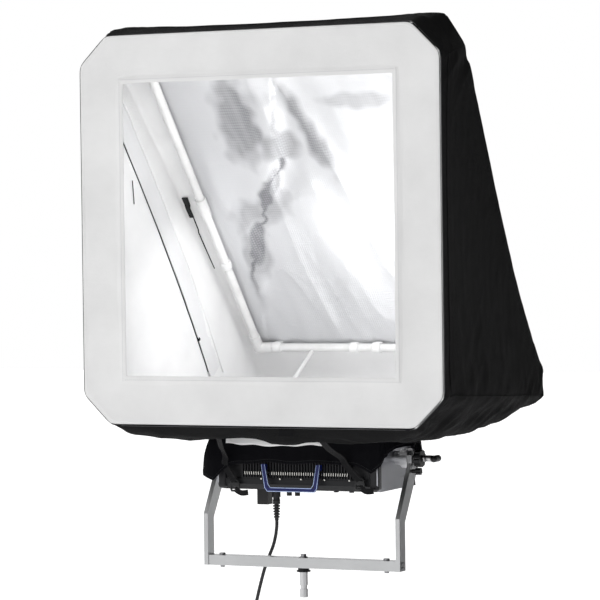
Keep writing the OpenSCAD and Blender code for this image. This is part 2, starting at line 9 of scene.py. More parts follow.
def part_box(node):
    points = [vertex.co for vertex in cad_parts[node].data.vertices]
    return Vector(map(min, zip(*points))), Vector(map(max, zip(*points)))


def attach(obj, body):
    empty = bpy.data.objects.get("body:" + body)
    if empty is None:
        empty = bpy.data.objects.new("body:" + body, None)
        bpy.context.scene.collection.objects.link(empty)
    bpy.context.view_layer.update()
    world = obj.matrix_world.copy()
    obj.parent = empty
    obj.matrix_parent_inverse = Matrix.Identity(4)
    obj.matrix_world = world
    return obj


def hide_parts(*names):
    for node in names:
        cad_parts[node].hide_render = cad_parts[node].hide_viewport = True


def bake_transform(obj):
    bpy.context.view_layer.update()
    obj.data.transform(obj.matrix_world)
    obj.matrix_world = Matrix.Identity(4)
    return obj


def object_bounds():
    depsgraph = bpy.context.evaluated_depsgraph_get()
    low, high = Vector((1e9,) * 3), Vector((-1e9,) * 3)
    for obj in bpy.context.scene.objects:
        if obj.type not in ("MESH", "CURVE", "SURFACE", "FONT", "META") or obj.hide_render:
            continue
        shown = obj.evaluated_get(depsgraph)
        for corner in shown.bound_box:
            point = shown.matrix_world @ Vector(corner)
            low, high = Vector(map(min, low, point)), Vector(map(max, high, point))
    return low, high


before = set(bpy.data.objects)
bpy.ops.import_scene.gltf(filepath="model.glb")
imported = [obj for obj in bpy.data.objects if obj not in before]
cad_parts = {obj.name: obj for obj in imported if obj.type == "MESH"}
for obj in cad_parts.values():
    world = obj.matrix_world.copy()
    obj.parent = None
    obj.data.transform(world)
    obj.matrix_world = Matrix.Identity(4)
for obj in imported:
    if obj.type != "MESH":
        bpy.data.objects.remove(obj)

# A wedge-shaped bounce softbox on a panel lamp in a cranked yoke. Metres, +Z up, front towards -Y.

cad_box = [list(corner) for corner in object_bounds()]

# ---------- sizes taken from the frame, and the bag's outline as the CAD source gives it ----------
border_low, border_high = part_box("front_border")
FRONT_Y = border_low[1]
BASE_Z = border_low[2]
HALF = border_high[0]
BAG_W = 2 * HALF
BORDER = 0.170
CUT = 0.103
TOE = 0.072
TOP_DEPTH = 0.150
DEPTH = 1.250
ROOF = BAG_W + 0.036
KICK_TOP = 0.125
KICK_MID = 0.048
KICK_LOW = 0.012
REAR_CUT = 0.106
ROOF_CUT = 0.028
FOOT_CUT = 0.060
EDGE_SAG = Vector((-0.016, -0.005, 0))
TOP_SAG = 0.007
POUCH_FRONT = 0.047
POUCH_SIDE = 0.030
REAR_SLOPE = (DEPTH - TOP_DEPTH) / (ROOF - KICK_TOP)
hub_low, hub_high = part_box("tilt_hub_right")
PIVOT_Y = (hub_low[1] + hub_high[1]) / 2
PIVOT_Z = (hub_low[2] + hub_high[2]) / 2
lamp_low, lamp_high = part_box("end_panel_right")
LAMP_HALF = lamp_high[0]
LAMP_FRONT = lamp_low[1]
LAMP_REAR = lamp_high[1]
LAMP_BOTTOM = lamp_low[2]
LAMP_TOP = lamp_high[2]
THROAT_X = LAMP_HALF + 0.012
THROAT_Z = LAMP_TOP + 0.008 - BASE_Z
THROAT_FRONT = LAMP_FRONT - 0.013 - FRONT_Y
THROAT_REAR = LAMP_REAR + 0.013 - FRONT_Y
TUBE_R = 0.016
BOUNCE_HALF = 0.517
BOUNCE_GAP = 0.062
BOUNCE_LOW = 0.230
BOUNCE_HIGH = 1.300
FLOOR_DROP = 0.7
FLOOR_HALF = 40


def half_at(y):
    """Half the bag's width at a depth behind the front."""
    return HALF - TOE * y


def rear_y(z):
    """Depth of the slanted rear panel at a height above the front's lower edge."""
    return TOP_DEPTH + (ROOF - z) * REAR_SLOPE


def bag(x, y, z):
    """A point of the bag, from its own depth and height."""
    return Vector((x, y + FRONT_Y, z + BASE_Z))


# ---------- materials ----------
class Shader:
    """A node material with short calls for the nodes that this scene uses."""

    def __init__(self, name, color, rough, metal=0.0, **sockets):
        self.mat = bpy.data.materials.new(name)
        self.mat.use_nodes = True
        self.tree = self.mat.node_tree
        self.bsdf = self.tree.nodes["Principled BSDF"]
        self.set("Base Color", (*color, 1))
        self.set("Roughness", rough)
        self.set("Metallic", metal)
        for key, value in sockets.items():
            self.set(key.replace("_", " "), value)
        self.coords = self.tree.nodes.new("ShaderNodeTexCoord").outputs["Object"]
        self.height = None

    def set(self, socket, value):
        self.bsdf.inputs[socket].default_value = value

    def node(self, kind, **settings):
        made = self.tree.nodes.new(kind)
        for key, value in settings.items():
            setattr(made, key, value)
        return made

    def link(self, a, b):
        self.tree.links.new(a, b)

    def stretched(self, scale):
        """Object coordinates scaled along each axis."""
        mapping = self.node("ShaderNodeMapping")
        mapping.inputs["Scale"].default_value = scale
        self.link(self.coords, mapping.inputs["Vector"])
        return mapping.outputs["Vector"]

    def noise(self, scale, detail=4.0, stretch=None):
        made = self.node("ShaderNodeTexNoise")
        made.inputs["Scale"].default_value = scale
        made.inputs["Detail"].default_value = detail
        self.link(self.stretched(stretch) if stretch else self.coords, made.inputs["Vector"])
        return made.outputs["Fac"]

    def bands(self, axis, spacing):
        """Soft bands across one axis, a given distance apart."""
        made = self.node("ShaderNodeTexWave", wave_type="BANDS", bands_direction=axis)
        # Blender's bands repeat every 2 pi / 20 units at scale 1
        made.inputs["Scale"].default_value = math.pi / (10 * spacing)
        self.link(self.coords, made.inputs["Vector"])
        return made.outputs["Fac"]

    def math(self, operation, a, b):
        made = self.node("ShaderNodeMath", operation=operation)
        for value, socket in ((a, made.inputs[0]), (b, made.inputs[1])):
            if isinstance(value, (int, float)):
                socket.default_value = value
            else:
                self.link(value, socket)
        return made.outputs[0]

    def ramp(self, factor, low, high):
        """Remaps a factor so that low gives 0 and high gives 1."""
        made = self.node("ShaderNodeMapRange")
        made.inputs["From Min"].default_value = low
        made.inputs["From Max"].default_value = high
        self.link(factor, made.inputs["Value"])
        return made.outputs["Result"]

    def weave(self, spacing):
        """Crossing threads on any plane that lies along two axes."""
        across = self.math("ADD", self.bands("X", spacing), self.bands("Y", spacing))
        return self.math("ADD", across, self.bands("Z", spacing))

    def ripstop(self, spacing):
        """A square grid of thicker threads."""
        lines = [self.ramp(self.bands(axis, spacing), 0.9, 1.0) for axis in "XYZ"]
        return self.math("MAXIMUM", self.math("MAXIMUM", lines[0], lines[1]), lines[2])

    def vary_color(self, factor, low, high):
        """Mixes two colours by a factor into the base colour."""
        mix = self.node("ShaderNodeMix", data_type="RGBA")
        mix.inputs["A"].default_value = (*low, 1)
        mix.inputs["B"].default_value = (*high, 1)
        self.link(factor, mix.inputs["Factor"])
        self.link(mix.outputs["Result"], self.bsdf.inputs["Base Color"])

    def vary_rough(self, factor, low, high):
        made = self.node("ShaderNodeMapRange")
        made.inputs["To Min"].default_value = low
        made.inputs["To Max"].default_value = high
        self.link(factor, made.inputs["Value"])
        self.link(made.outputs["Result"], self.bsdf.inputs["Roughness"])

    def bump(self, height, distance, strength=1.0):
        """Adds one layer of bump; layers stack."""
        made = self.node("ShaderNodeBump")
        made.inputs["Distance"].default_value = distance
        made.inputs["Strength"].default_value = strength
        self.link(height, made.inputs["Height"])
        if self.height is not None:
            self.link(self.height, made.inputs["Normal"])
        self.height = made.outputs["Normal"]
        self.link(self.height, self.bsdf.inputs["Normal"])


def tone(color, factor):
    return tuple(min(1.0, c * factor) for c in color)


def cloth(name, color, rough, thread=0.0011, grid=0.0, sheen=0.0, depth=0.0002, shine=0.5):
    s = Shader(name, color, rough, Sheen_Weight=sheen, Sheen_Roughness=0.25, Specular_IOR_Level=shine)
    s.vary_color(s.noise(5.0), tone(color, 0.86), tone(color, 1.12))
    s.vary_rough(s.noise(24.0), rough - 0.06, rough + 0.08)
    s.bump(s.weave(thread), depth)
    if grid:
        s.bump(s.ripstop(grid), depth * 1.6)
    s.bump(s.noise(60.0, 3.0), 0.0006)
    return s.mat


def metal(name, color, rough, grain):
    """Brushed metal: fine streaks across the axis with the largest stretch."""
    s = Shader(name, color, rough, metal=1.0)
    streaks = s.noise(30.0, 6.0, stretch=grain)
    s.vary_rough(streaks, rough - 0.08, rough + 0.12)
    s.vary_color(s.noise(9.0), tone(color, 0.9), tone(color, 1.12))
    s.bump(streaks, 0.00012)
    return s.mat


def plastic(name, color, rough, grain=900.0, coat=0.0):
    s = Shader(name, color, rough, Coat_Weight=coat, Specular_IOR_Level=0.35)
    s.vary_color(s.noise(14.0), tone(color, 0.85), tone(color, 1.2))
    s.vary_rough(s.noise(40.0), rough - 0.06, rough + 0.08)
    s.bump(s.noise(grain, 2.0), 0.00008)
    return s.mat


def powder(name, color, rough):
    s = Shader(name, color, rough, Specular_IOR_Level=0.28)
    s.vary_color(s.noise(11.0), tone(color, 0.8), tone(color, 1.3))
    s.vary_rough(s.noise(6.0), rough - 0.08, rough + 0.1)
    s.bump(s.noise(1400.0, 2.0), 0.00012)
    return s.mat


def silver_cloth():
    """Metallised ripstop: bright and crinkled, with a fine grid. A per-point mask paints dark reflections in
    patches and painted shade along the deep fold; the grid shows as darker threads there.
    """
    bright, painted_dark_color = (0.80, 0.805, 0.82), (0.20, 0.20, 0.215)
    s = Shader("silver_ripstop", bright, 0.42, metal=0.92)
    # mask of painted dark reflection and painted shade, set per point on the sheet's mesh
    painted_dark_mask = s.node("ShaderNodeAttribute", attribute_name="painted_dark_mask").outputs["Fac"]
    grid = s.ripstop(0.0085)
    threads = s.math("ADD", s.math("MULTIPLY", grid, 0.35), 0.80)
    s.vary_color(s.math("MULTIPLY", painted_dark_mask, threads), bright, painted_dark_color)
    s.vary_rough(s.noise(7.0), 0.30, 0.42)
    s.bump(s.noise(18.0, 3.0), 0.0006, 0.6)
    s.bump(grid, 0.0004)
    return s.mat


def glow_panel():
    """Opal panel of the lamp, lit."""
    s = Shader("opal_lit", (0.93, 0.93, 0.92), 0.35, Emission_Color=(1, 1, 1, 1), Emission_Strength=5.2)
    s.vary_rough(s.noise(50.0), 0.3, 0.42)
    s.bump(s.noise(700.0, 2.0), 0.0001)
    return s.mat


def floor_paint():
    """Pale, faintly uneven studio floor, lifted a little so that it meets the backdrop without a line."""
    s = Shader("floor_pale", (0.95, 0.95, 0.95), 0.9, Emission_Color=(1, 1, 1, 1), Emission_Strength=0.6)
    s.vary_color(s.noise(0.7), (0.94, 0.94, 0.94), (0.96, 0.96, 0.96))
    s.bump(s.noise(6.0), 0.002)
    return s.mat


BLACK_CLOTH = cloth("black_nylon", (0.0105, 0.0105, 0.0110), 0.60, grid=0.0065, sheen=0.012, depth=0.0003,
                    shine=0.01)
SKIRT_CLOTH = cloth("skirt_nylon", (0.0024, 0.0024, 0.0040), 0.66, sheen=0.002, depth=0.0003, shine=0.08)
WHITE_CLOTH = cloth("border_white", (0.765, 0.765, 0.765), 0.85, thread=0.0013)
LINING_CLOTH = cloth("lining_white", (0.92, 0.92, 0.925), 0.62, thread=0.0012)
GREY_CLOTH = cloth("lining_grey", (0.50, 0.51, 0.53), 0.7)
WEB_CLOTH = cloth("webbing_black", (0.0075, 0.0075, 0.0085), 0.6, thread=0.0022, depth=0.0006, shine=0.15)
# lining cloth made greyer for the slit's cover strip: painted shade
PAINTED_SHADE_CLOTH = cloth("lining_painted_shade", (0.83, 0.83, 0.84), 0.7)
PATCH_CLOTH = cloth("patch_charcoal", (0.004, 0.004, 0.005), 0.7, shine=0.1)
PIPING = cloth("piping_grey", (0.10, 0.10, 0.105), 0.6)
THREAD = cloth("thread_grey", (0.022, 0.022, 0.024), 0.7)
SILVER = silver_cloth()
ALUMINIUM = metal("yoke_aluminium", (0.43, 0.435, 0.44), 0.30, grain=(2, 2, 50))
BAR_ALUMINIUM = metal("bar_aluminium", (0.43, 0.435, 0.44), 0.32, grain=(50, 2, 2))
STEEL = metal("zinc_steel", (0.52, 0.52, 0.53), 0.38, grain=(8, 8, 8))
BOLT = metal("bolt_steel", (0.30, 0.30, 0.31), 0.42, grain=(6, 6, 6))
NICKEL = metal("nickel", (0.62, 0.61, 0.58), 0.22, grain=(10, 10, 10))
LAMP_BLACK = powder("lamp_black", (0.0045, 0.0045, 0.006), 0.42)
FIN_BLACK = powder("fin_black", (0.007, 0.007, 0.009), 0.34)
PANEL_GREY = powder("panel_grey", (0.004, 0.0043, 0.0058), 0.44)
END_GREY = metal("end_grey", (0.36, 0.365, 0.39), 0.36, grain=(2, 30, 2))
BLUE = powder("guard_blue", (0.0030, 0.0085, 0.085), 0.32)
PALE_BLUE = powder("guard_edge", (0.42, 0.52, 0.82), 0.3)
BLACK_PLASTIC = plastic("black_plastic", (0.007, 0.007, 0.008), 0.42)
GREY_PLASTIC = plastic("grey_plastic", (0.42, 0.42, 0.41), 0.45)
WHITE_TUBE = plastic("white_tube", (0.67, 0.67, 0.668), 0.32, coat=0.15)
WHITE_WRAP = cloth("white_wrap", (0.80, 0.80, 0.80), 0.8, thread=0.0018)
RUBBER = plastic("cord_rubber", (0.022, 0.022, 0.024), 0.58, grain=1600.0)
BOARD = plastic("driver_green", (0.02, 0.12, 0.06), 0.4)
ENGINE = plastic("engine_yellow", (0.72, 0.62, 0.2), 0.4)
SCREEN = plastic("display_glass", (0.006, 0.008, 0.02), 0.08, coat=1.0)
OPAL = glow_panel()
FLOOR = floor_paint()


# ---------- mesh helpers ----------
def finish_mesh(name, mesh, material, body="head", smooth=True):
    mesh.materials.append(material)
    for polygon in mesh.polygons:
        polygon.use_smooth = smooth
    piece = bpy.data.objects.new(name, mesh)
    bpy.context.scene.collection.objects.link(piece)
    if body:
        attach(piece, body)
    return piece


def mesh_piece(name, points, faces, material, body="head", smooth=True):
    mesh = bpy.data.meshes.new(name)
    mesh.from_pydata([tuple(p) for p in points], [], faces)
    mesh.update()
    return finish_mesh(name, mesh, material, body, smooth)


def apply_modifiers(piece):
    """Leaves the piece with its final mesh and no modifiers."""
    bpy.context.view_layer.update()
    evaluated = piece.evaluated_get(bpy.context.evaluated_depsgraph_get())
    final = bpy.data.meshes.new_from_object(evaluated)
    piece.modifiers.clear()
    piece.data = final
    return piece


def thicken(piece, thickness, offset=-1.0):
    solid = piece.modifiers.new("thick", "SOLIDIFY")
    solid.thickness = thickness
    solid.offset = offset
    return apply_modifiers(piece)


def grid_faces(rows, columns, wrap=False):
    """Quads of a grid of points stored row by row; wrap joins the last column to the first."""
    faces = []
    for i in range(rows - 1):
        for j in range(columns if wrap else columns - 1):
            k = (j + 1) % columns
            faces.append((i * columns + j, i * columns + k, (i + 1) * columns + k, (i + 1) * columns + j))
    return faces


def smooth_path(points, steps):
    """Points of a smooth curve through the given ones."""
    points = [Vector(p) for p in points]
    path = []
    for i in range(len(points) - 1):
        a, b = points[max(i - 1, 0)], points[i]
        c, d = points[i + 1], points[min(i + 2, len(points) - 1)]
        for k in range(steps):
            t = k / steps
            path.append(b + 0.5 * t * ((c - a) + t * ((2 * a - 5 * b + 4 * c - d)
                                                      + t * (3 * b - a - 3 * c + d))))
    path.append(points[-1])
    return path


def path_frames(path, up):
    """For each point of a path, two directions across it that turn smoothly."""
    frames = []
    side = None
    for i in range(len(path)):
        along = (path[min(i + 1, len(path) - 1)] - path[max(i - 1, 0)]).normalized()
        if side is None:
            side = Vector(up).cross(along)
        side = (side - along * side.dot(along)).normalized()
        frames.append((side, along.cross(side)))
    return frames


def sweep(name, path, section, material, body="head", up=(0, 1, 0), closed=False, smooth=True):
    """Sweeps a closed section, a list of (a, b) offsets, along a path."""
    points = []
    for p, (a, b) in zip(path, path_frames(path, up)):
        points += [p + a * u + b * v for u, v in section]
    sides = len(section)
    faces = grid_faces(len(path), sides, wrap=True)
    if closed:
        last = (len(path) - 1) * sides
        faces += [(last + j, last + (j + 1) % sides, (j + 1) % sides, j) for j in range(sides)]
    else:
        faces.append(tuple(reversed(range(sides))))
        faces.append(tuple(range((len(path) - 1) * sides, len(path) * sides)))
    return mesh_piece(name, points, faces, material, body, smooth)


def circle(radius, sides):
    return [(radius * math.cos(2 * math.pi * k / sides), radius * math.sin(2 * math.pi * k / sides))
            for k in range(sides)]


def rounded_box_section(width, height, radius, steps=3):
    """A rectangle with round corners, as a section."""
    points = []
    for cx, cy, start in ((1, 1, 0), (-1, 1, 90), (-1, -1, 180), (1, -1, 270)):
        for k in range(steps + 1):
            a = math.radians(start + 90 * k / steps)
            points.append((cx * (width / 2 - radius) + radius * math.cos(a),
                           cy * (height / 2 - radius) + radius * math.sin(a)))
    return points


def tube(name, points, radius, material, body="head", sides=16, closed=False, up=(0, 1, 0)):
    return sweep(name, [Vector(p) for p in points], circle(radius, sides), material, body, up, closed)


def lathe(name, profile, centre, axis, material, body="head", sides=40, smooth=True):
    """Turns a profile of (radius, distance along the axis) round an axis."""
    axis = Vector(axis).normalized()
    side = axis.orthogonal().normalized()
    other = axis.cross(side)
    points = []
    for r, h in profile:
        for k in range(sides):
            a = 2 * math.pi * k / sides
            outwards = side * math.cos(a) + other * math.sin(a)
            points.append(Vector(centre) + axis * h + outwards * max(r, 1e-5))
    faces = grid_faces(len(profile), sides, wrap=True)
    faces.append(tuple(reversed(range(sides))))
    faces.append(tuple(range((len(profile) - 1) * sides, len(profile) * sides)))
    return mesh_piece(name, points, faces, material, body, smooth)


def block(name, low, high, material, body="head", bevel=0.0015, segments=2):
    """A box with rounded edges."""
    mesh = bpy.data.meshes.new(name)
    bm = bmesh.new()
    bmesh.ops.create_cube(bm, size=1.0)
    low, high = Vector(low), Vector(high)
    for v in bm.verts:
        v.co = (low + high) / 2 + Vector(v.co[i] * (high - low)[i] for i in range(3))
    if bevel:
        bmesh.ops.bevel(bm, geom=bm.edges[:], offset=bevel, segments=segments, affect="EDGES", profile=0.5)
    bm.to_mesh(mesh)
    bm.free()
    return finish_mesh(name, mesh, material, body, smooth=False)


def surface_noise(point, scale, seed=0.0):
    return noise.noise(Vector(point) * scale + Vector((seed, 2.7 * seed, -seed)))


def ridged(point, scale, seed=0.0):
    """Noise with sharp creases, from 0 to 1."""
    return 1 - abs(surface_noise(point, scale, seed)) * 2


def use(node, material, bevel=0.0):
    """Gives a CAD node its finished material and softened edges."""
    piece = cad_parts[node]
    piece.data.materials.clear()
    piece.data.materials.append(material)
    if bevel:
        soft = piece.modifiers.new("edges", "BEVEL")
        soft.width = bevel
        soft.segments = 2
        soft.limit_method = "ANGLE"
        soft.angle_limit = math.radians(40)
    return piece


# ---------- camera and light ----------
def make_camera():
    yaw, pitch, roll = (math.radians(a) for a in (24.633, -1.016, -0.732))
    ahead = Vector((-math.sin(yaw) * math.cos(pitch), math.cos(yaw) * math.cos(pitch), math.sin(pitch)))
    right = Vector((math.cos(yaw), math.sin(yaw), 0))
    up = right.cross(ahead)
    right, up = (right * math.cos(roll) + up * math.sin(roll), up * math.cos(roll) - right * math.sin(roll))
    data = bpy.data.cameras.new("camera")
    data.sensor_width = 36.0
    data.lens = 171.6
    data.clip_end = 100
    camera = bpy.data.objects.new("camera", data)
    rotation = Matrix((right, up, -ahead)).transposed().to_4x4()
    camera.matrix_world = Matrix.Translation((4.209, -9.181, 1.140)) @ rotation
    bpy.context.scene.collection.objects.link(camera)
    bpy.context.scene.camera = camera


def area_light(name, place, target, size, power, glossy=True):
    data = bpy.data.lights.new(name, "AREA")
    data.shape = "RECTANGLE"
    data.size, data.size_y = size
    data.energy = power
    light = bpy.data.objects.new(name, data)
    light.location = place
    light.rotation_euler = (Vector(target) - Vector(place)).to_track_quat("-Z", "Y").to_euler()
    light.visible_camera = False
    light.visible_glossy = glossy
    bpy.context.scene.collection.objects.link(light)


def ribbon_wall(name, start, end, low, high):
    """A black studio panel that stands out of view and darkens what metal and cloth reflect."""
    corners = [(*start, low), (*end, low), (*end, high), (*start, high)]
    return mesh_piece(name, corners, [(0, 1, 2, 3)], SKIRT_CLOTH, body=None)


def make_light():
    """Studio whose walls grow dark to the object's right, so that metal and cloth show their sides; the
    backdrop itself is white all round."""
    world = bpy.data.worlds.new("studio")
    bpy.context.scene.world = world
    world.use_nodes = True
    tree = world.node_tree
    background = tree.nodes["Background"]
    direction = tree.nodes.new("ShaderNodeTexCoord")
    parts = tree.nodes.new("ShaderNodeSeparateXYZ")
    fade = tree.nodes.new("ShaderNodeMapRange")
    for socket, value in (("From Min", 0.02), ("From Max", 0.40), ("To Min", 1.0), ("To Max", 0.08)):
        fade.inputs[socket].default_value = value
    tree.links.new(direction.outputs["Generated"], parts.inputs[0])
    tree.links.new(parts.outputs["X"], fade.inputs["Value"])
    ray = tree.nodes.new("ShaderNodeLightPath")
    backdrop = tree.nodes.new("ShaderNodeMath")
    backdrop.operation = "MAXIMUM"
    tree.links.new(fade.outputs["Result"], backdrop.inputs[0])
    tree.links.new(ray.outputs["Is Camera Ray"], backdrop.inputs[1])
    tree.links.new(backdrop.outputs[0], background.inputs["Strength"])
    background.inputs["Color"].default_value = (1, 1, 1, 1)
    bpy.context.scene.view_settings.view_transform = "Standard"
    area_light("key_left", (-3.2, -5.0, 3.6), (0, 0, 1.2), (2.2, 2.2), 60)
    area_light("window_fill", (0, FRONT_Y + 0.06, BASE_Z + 1.02), (0, 0.55, BASE_Z + 0.65), (0.9, 0.5), 3.4,
               glossy=False)
    area_light("floor_fill", (0, 0.10, BASE_Z + 0.70), (0, 0.55, BASE_Z), (0.7, 0.3), 3.0, glossy=False)
    area_light("yoke_card", (1.75, 5.1, 0.15), (-0.38, -0.05, 0.15), (1.5, 1.3), 5)
    flag = ribbon_wall("flag", (1.65, 0.6), (1.65, 4.2), cad_box[0][2] - 0.6, 3.4)
    flag.visible_camera = False
    floor_z = cad_box[0][2] - FLOOR_DROP
    corners = [(x * FLOOR_HALF, y * FLOOR_HALF, floor_z) for x, y in ((-1, -1), (1, -1), (1, 1), (-1, 1))]
    mesh_piece("floor", corners, [(0, 1, 2, 3)], FLOOR, body=None)


make_camera()
make_light()

# ---------- mains cord ----------
CORD_D = 0.012
CORD_ROUTE = [
    (-0.141, 0.082, 0.172), (-0.141, 0.082, 0.155), (-0.143, 0.082, 0.135), (-0.147, 0.082, 0.112),
    (-0.156, 0.082, 0.080), (-0.171, 0.082, 0.045), (-0.184, 0.082, 0.015), (-0.194, 0.082, -0.012),
    (-0.204, 0.082, -0.045), (-0.214, 0.082, -0.080), (-0.224, 0.082, -0.118), (-0.232, 0.082, -0.150),
    (-0.238, 0.082, -0.180), (-0.242, 0.082, -0.210), (-0.243, 0.082, -0.240),
]
TAIL_ROUTE = [
    (-0.249, 0.071, -0.290), (-0.249, 0.071, -0.320), (-0.249, 0.071, -0.350), (-0.248, 0.072, -0.365),
    (-0.246, 0.073, -0.380), (-0.244, 0.074, -0.390),
]
COIL_R = 0.066
COIL_CENTRE = Vector((CORD_ROUTE[-1][0] + COIL_R + CORD_D, 0.082, -0.290))
COIL_TURNS = 6
# places of the turns in the coil's section, in cord diameters: (outwards, sideways)
COIL_SLOTS = [(1.02, 0), (0.51, 0.9), (-0.51, 0.9), (-1.02, 0), (-0.51, -0.9), (0.51, -0.9), (1.53, -0.9)]


def coil_points():
    """Turns that start and end going down on the coil's left side."""
    points = []
    steps = 40
    for k in range(COIL_TURNS * steps + 1):
        turn = k / steps
        i = min(int(turn), COIL_TURNS - 1)
        # the step to the next place happens in the middle of a turn
        t = min(1.0, max(0.0, (turn - i - 0.28) / 0.34))
        t = t * t * (3 - 2 * t)
        swell = 1 + 0.5 * t * (1 - t)
        out = (COIL_SLOTS[i][0] * (1 - t) + COIL_SLOTS[i + 1][0] * t) * swell
        side = (COIL_SLOTS[i][1] * (1 - t) + COIL_SLOTS[i + 1][1] * t) * swell
        a = math.pi + 2 * math.pi * turn
        r = COIL_R + out * CORD_D
        points.append(COIL_CENTRE + Vector((r * math.cos(a), side * CORD_D, r * math.sin(a))))
    return points


def make_cord():
    coil = coil_points()
    lead = smooth_path(CORD_ROUTE + [tuple(coil[0])], 6)
    tail = smooth_path([tuple(coil[-1]), *TAIL_ROUTE[1:]], 6)
    path = lead[:-1] + coil + tail[1:]
    cord = sweep("mains_cord_mesh", path, circle(CORD_D / 2, 14), RUBBER, body=None, up=(0, 1, 0))
    length = sum((b - a).length for a, b in zip(path, path[1:]))
    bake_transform(cord)
    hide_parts("mains_cord", "mains_coil", "cord_tail")
    return cord, path, length


cord, cord_path, cord_length = make_cord()
PLUG_TOP = Vector(TAIL_ROUTE[-1])


def make_plug():
    body = lathe("plug_body", [
        (0.0075, 0.0), (0.0085, -0.004), (0.0078, -0.007), (0.0095, -0.011), (0.0088, -0.014),
        (0.0108, -0.018), (0.0120, -0.022), (0.0165, -0.025), (0.0188, -0.029), (0.0190, -0.034),
        (0.0180, -0.036), (0.0190, -0.038), (0.0190, -0.052), (0.0182, -0.0568), (0.0160, -0.058)
    ], PLUG_TOP, (0, 0, 1), RUBBER, "yoke")
    pins = []
    for x in (-0.0095, 0.0095):
        pins.append(lathe("pin", [(0.0024, -0.0575), (0.0024, -0.0745), (0.0018, -0.0768), (0.0004, -0.077)],
                          PLUG_TOP + Vector((x, 0, 0)), (0, 0, 1), NICKEL, "yoke", sides=16))
    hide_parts("mains_plug")
    return [body, *pins]


plug_pieces = make_plug()


def make_tie():
    """Hook-and-loop band round the coil's top, with its free end standing up."""
    centre = COIL_CENTRE + Vector((0, 0, COIL_R))
    places = [Vector((0, side, out)) * CORD_D for out, side in COIL_SLOTS[1:]]
    ring = []
    for k in range(49):
        a = 2 * math.pi * k / 48 + 0.4
        out = Vector((0, math.cos(a), math.sin(a)))
        furthest = max(places, key=lambda p: p.dot(out))
        ring.append(centre + furthest + out * (CORD_D / 2 + 0.0012 + 0.0016 * k / 48))
    ring.append(ring[-1] + Vector((0, -0.002, 0.014)))
    band = rounded_box_section(0.0016, 0.020, 0.0006, 2)
    tie = sweep("coil_tie", ring, band, WEB_CLOTH, "yoke", up=(1, 0, 0))
    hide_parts("cord_tie")
    return tie


tie = make_tie()

# ---------- the bag: one lofted shell, and its white lining ----------
SIDE_ROWS = 30
TOP_COLS = 34
FACET_ROWS = 4
KICK_ROWS = 2
DEPTH_STEPS = 26
UNDER_RINGS = 9


def edge_pull(fraction):
    """How far the rear edge sags inwards between its corners, from the low corner (0) to the high one (1)."""
    return math.sin(math.pi * fraction ** 0.65) ** 1.6


def bag_corners(inset):
    """Front and rear corners of the right-hand side, from the underside up to the top, drawn inwards."""
    z_side = ROOF - REAR_CUT
    front_x = HALF - inset
    front = [
        (front_x - CUT, 0.002, inset), (front_x, 0.002, CUT), (front_x, 0.002, CUT + 0.06),
        (front_x, 0.002, BAG_W - CUT), (front_x - CUT, 0.002, BAG_W - inset),
    ]
    rear = [
        (half_at(DEPTH) - FOOT_CUT - inset, DEPTH - 0.010 - inset, KICK_LOW + inset),
        (half_at(DEPTH) - inset, DEPTH - 0.006 - inset, KICK_MID),
        (half_at(DEPTH) - inset, DEPTH - inset, KICK_TOP),
        (half_at(rear_y(z_side)) + 0.010 - inset, rear_y(z_side) + 0.016 - inset, z_side),
        (half_at(TOP_DEPTH) - ROOF_CUT - inset, TOP_DEPTH - inset, ROOF - inset),
    ]
    return [Vector(p) for p in front], [Vector(p) for p in rear]


def mirrored(p):
    return Vector((-p.x, p.y, p.z))


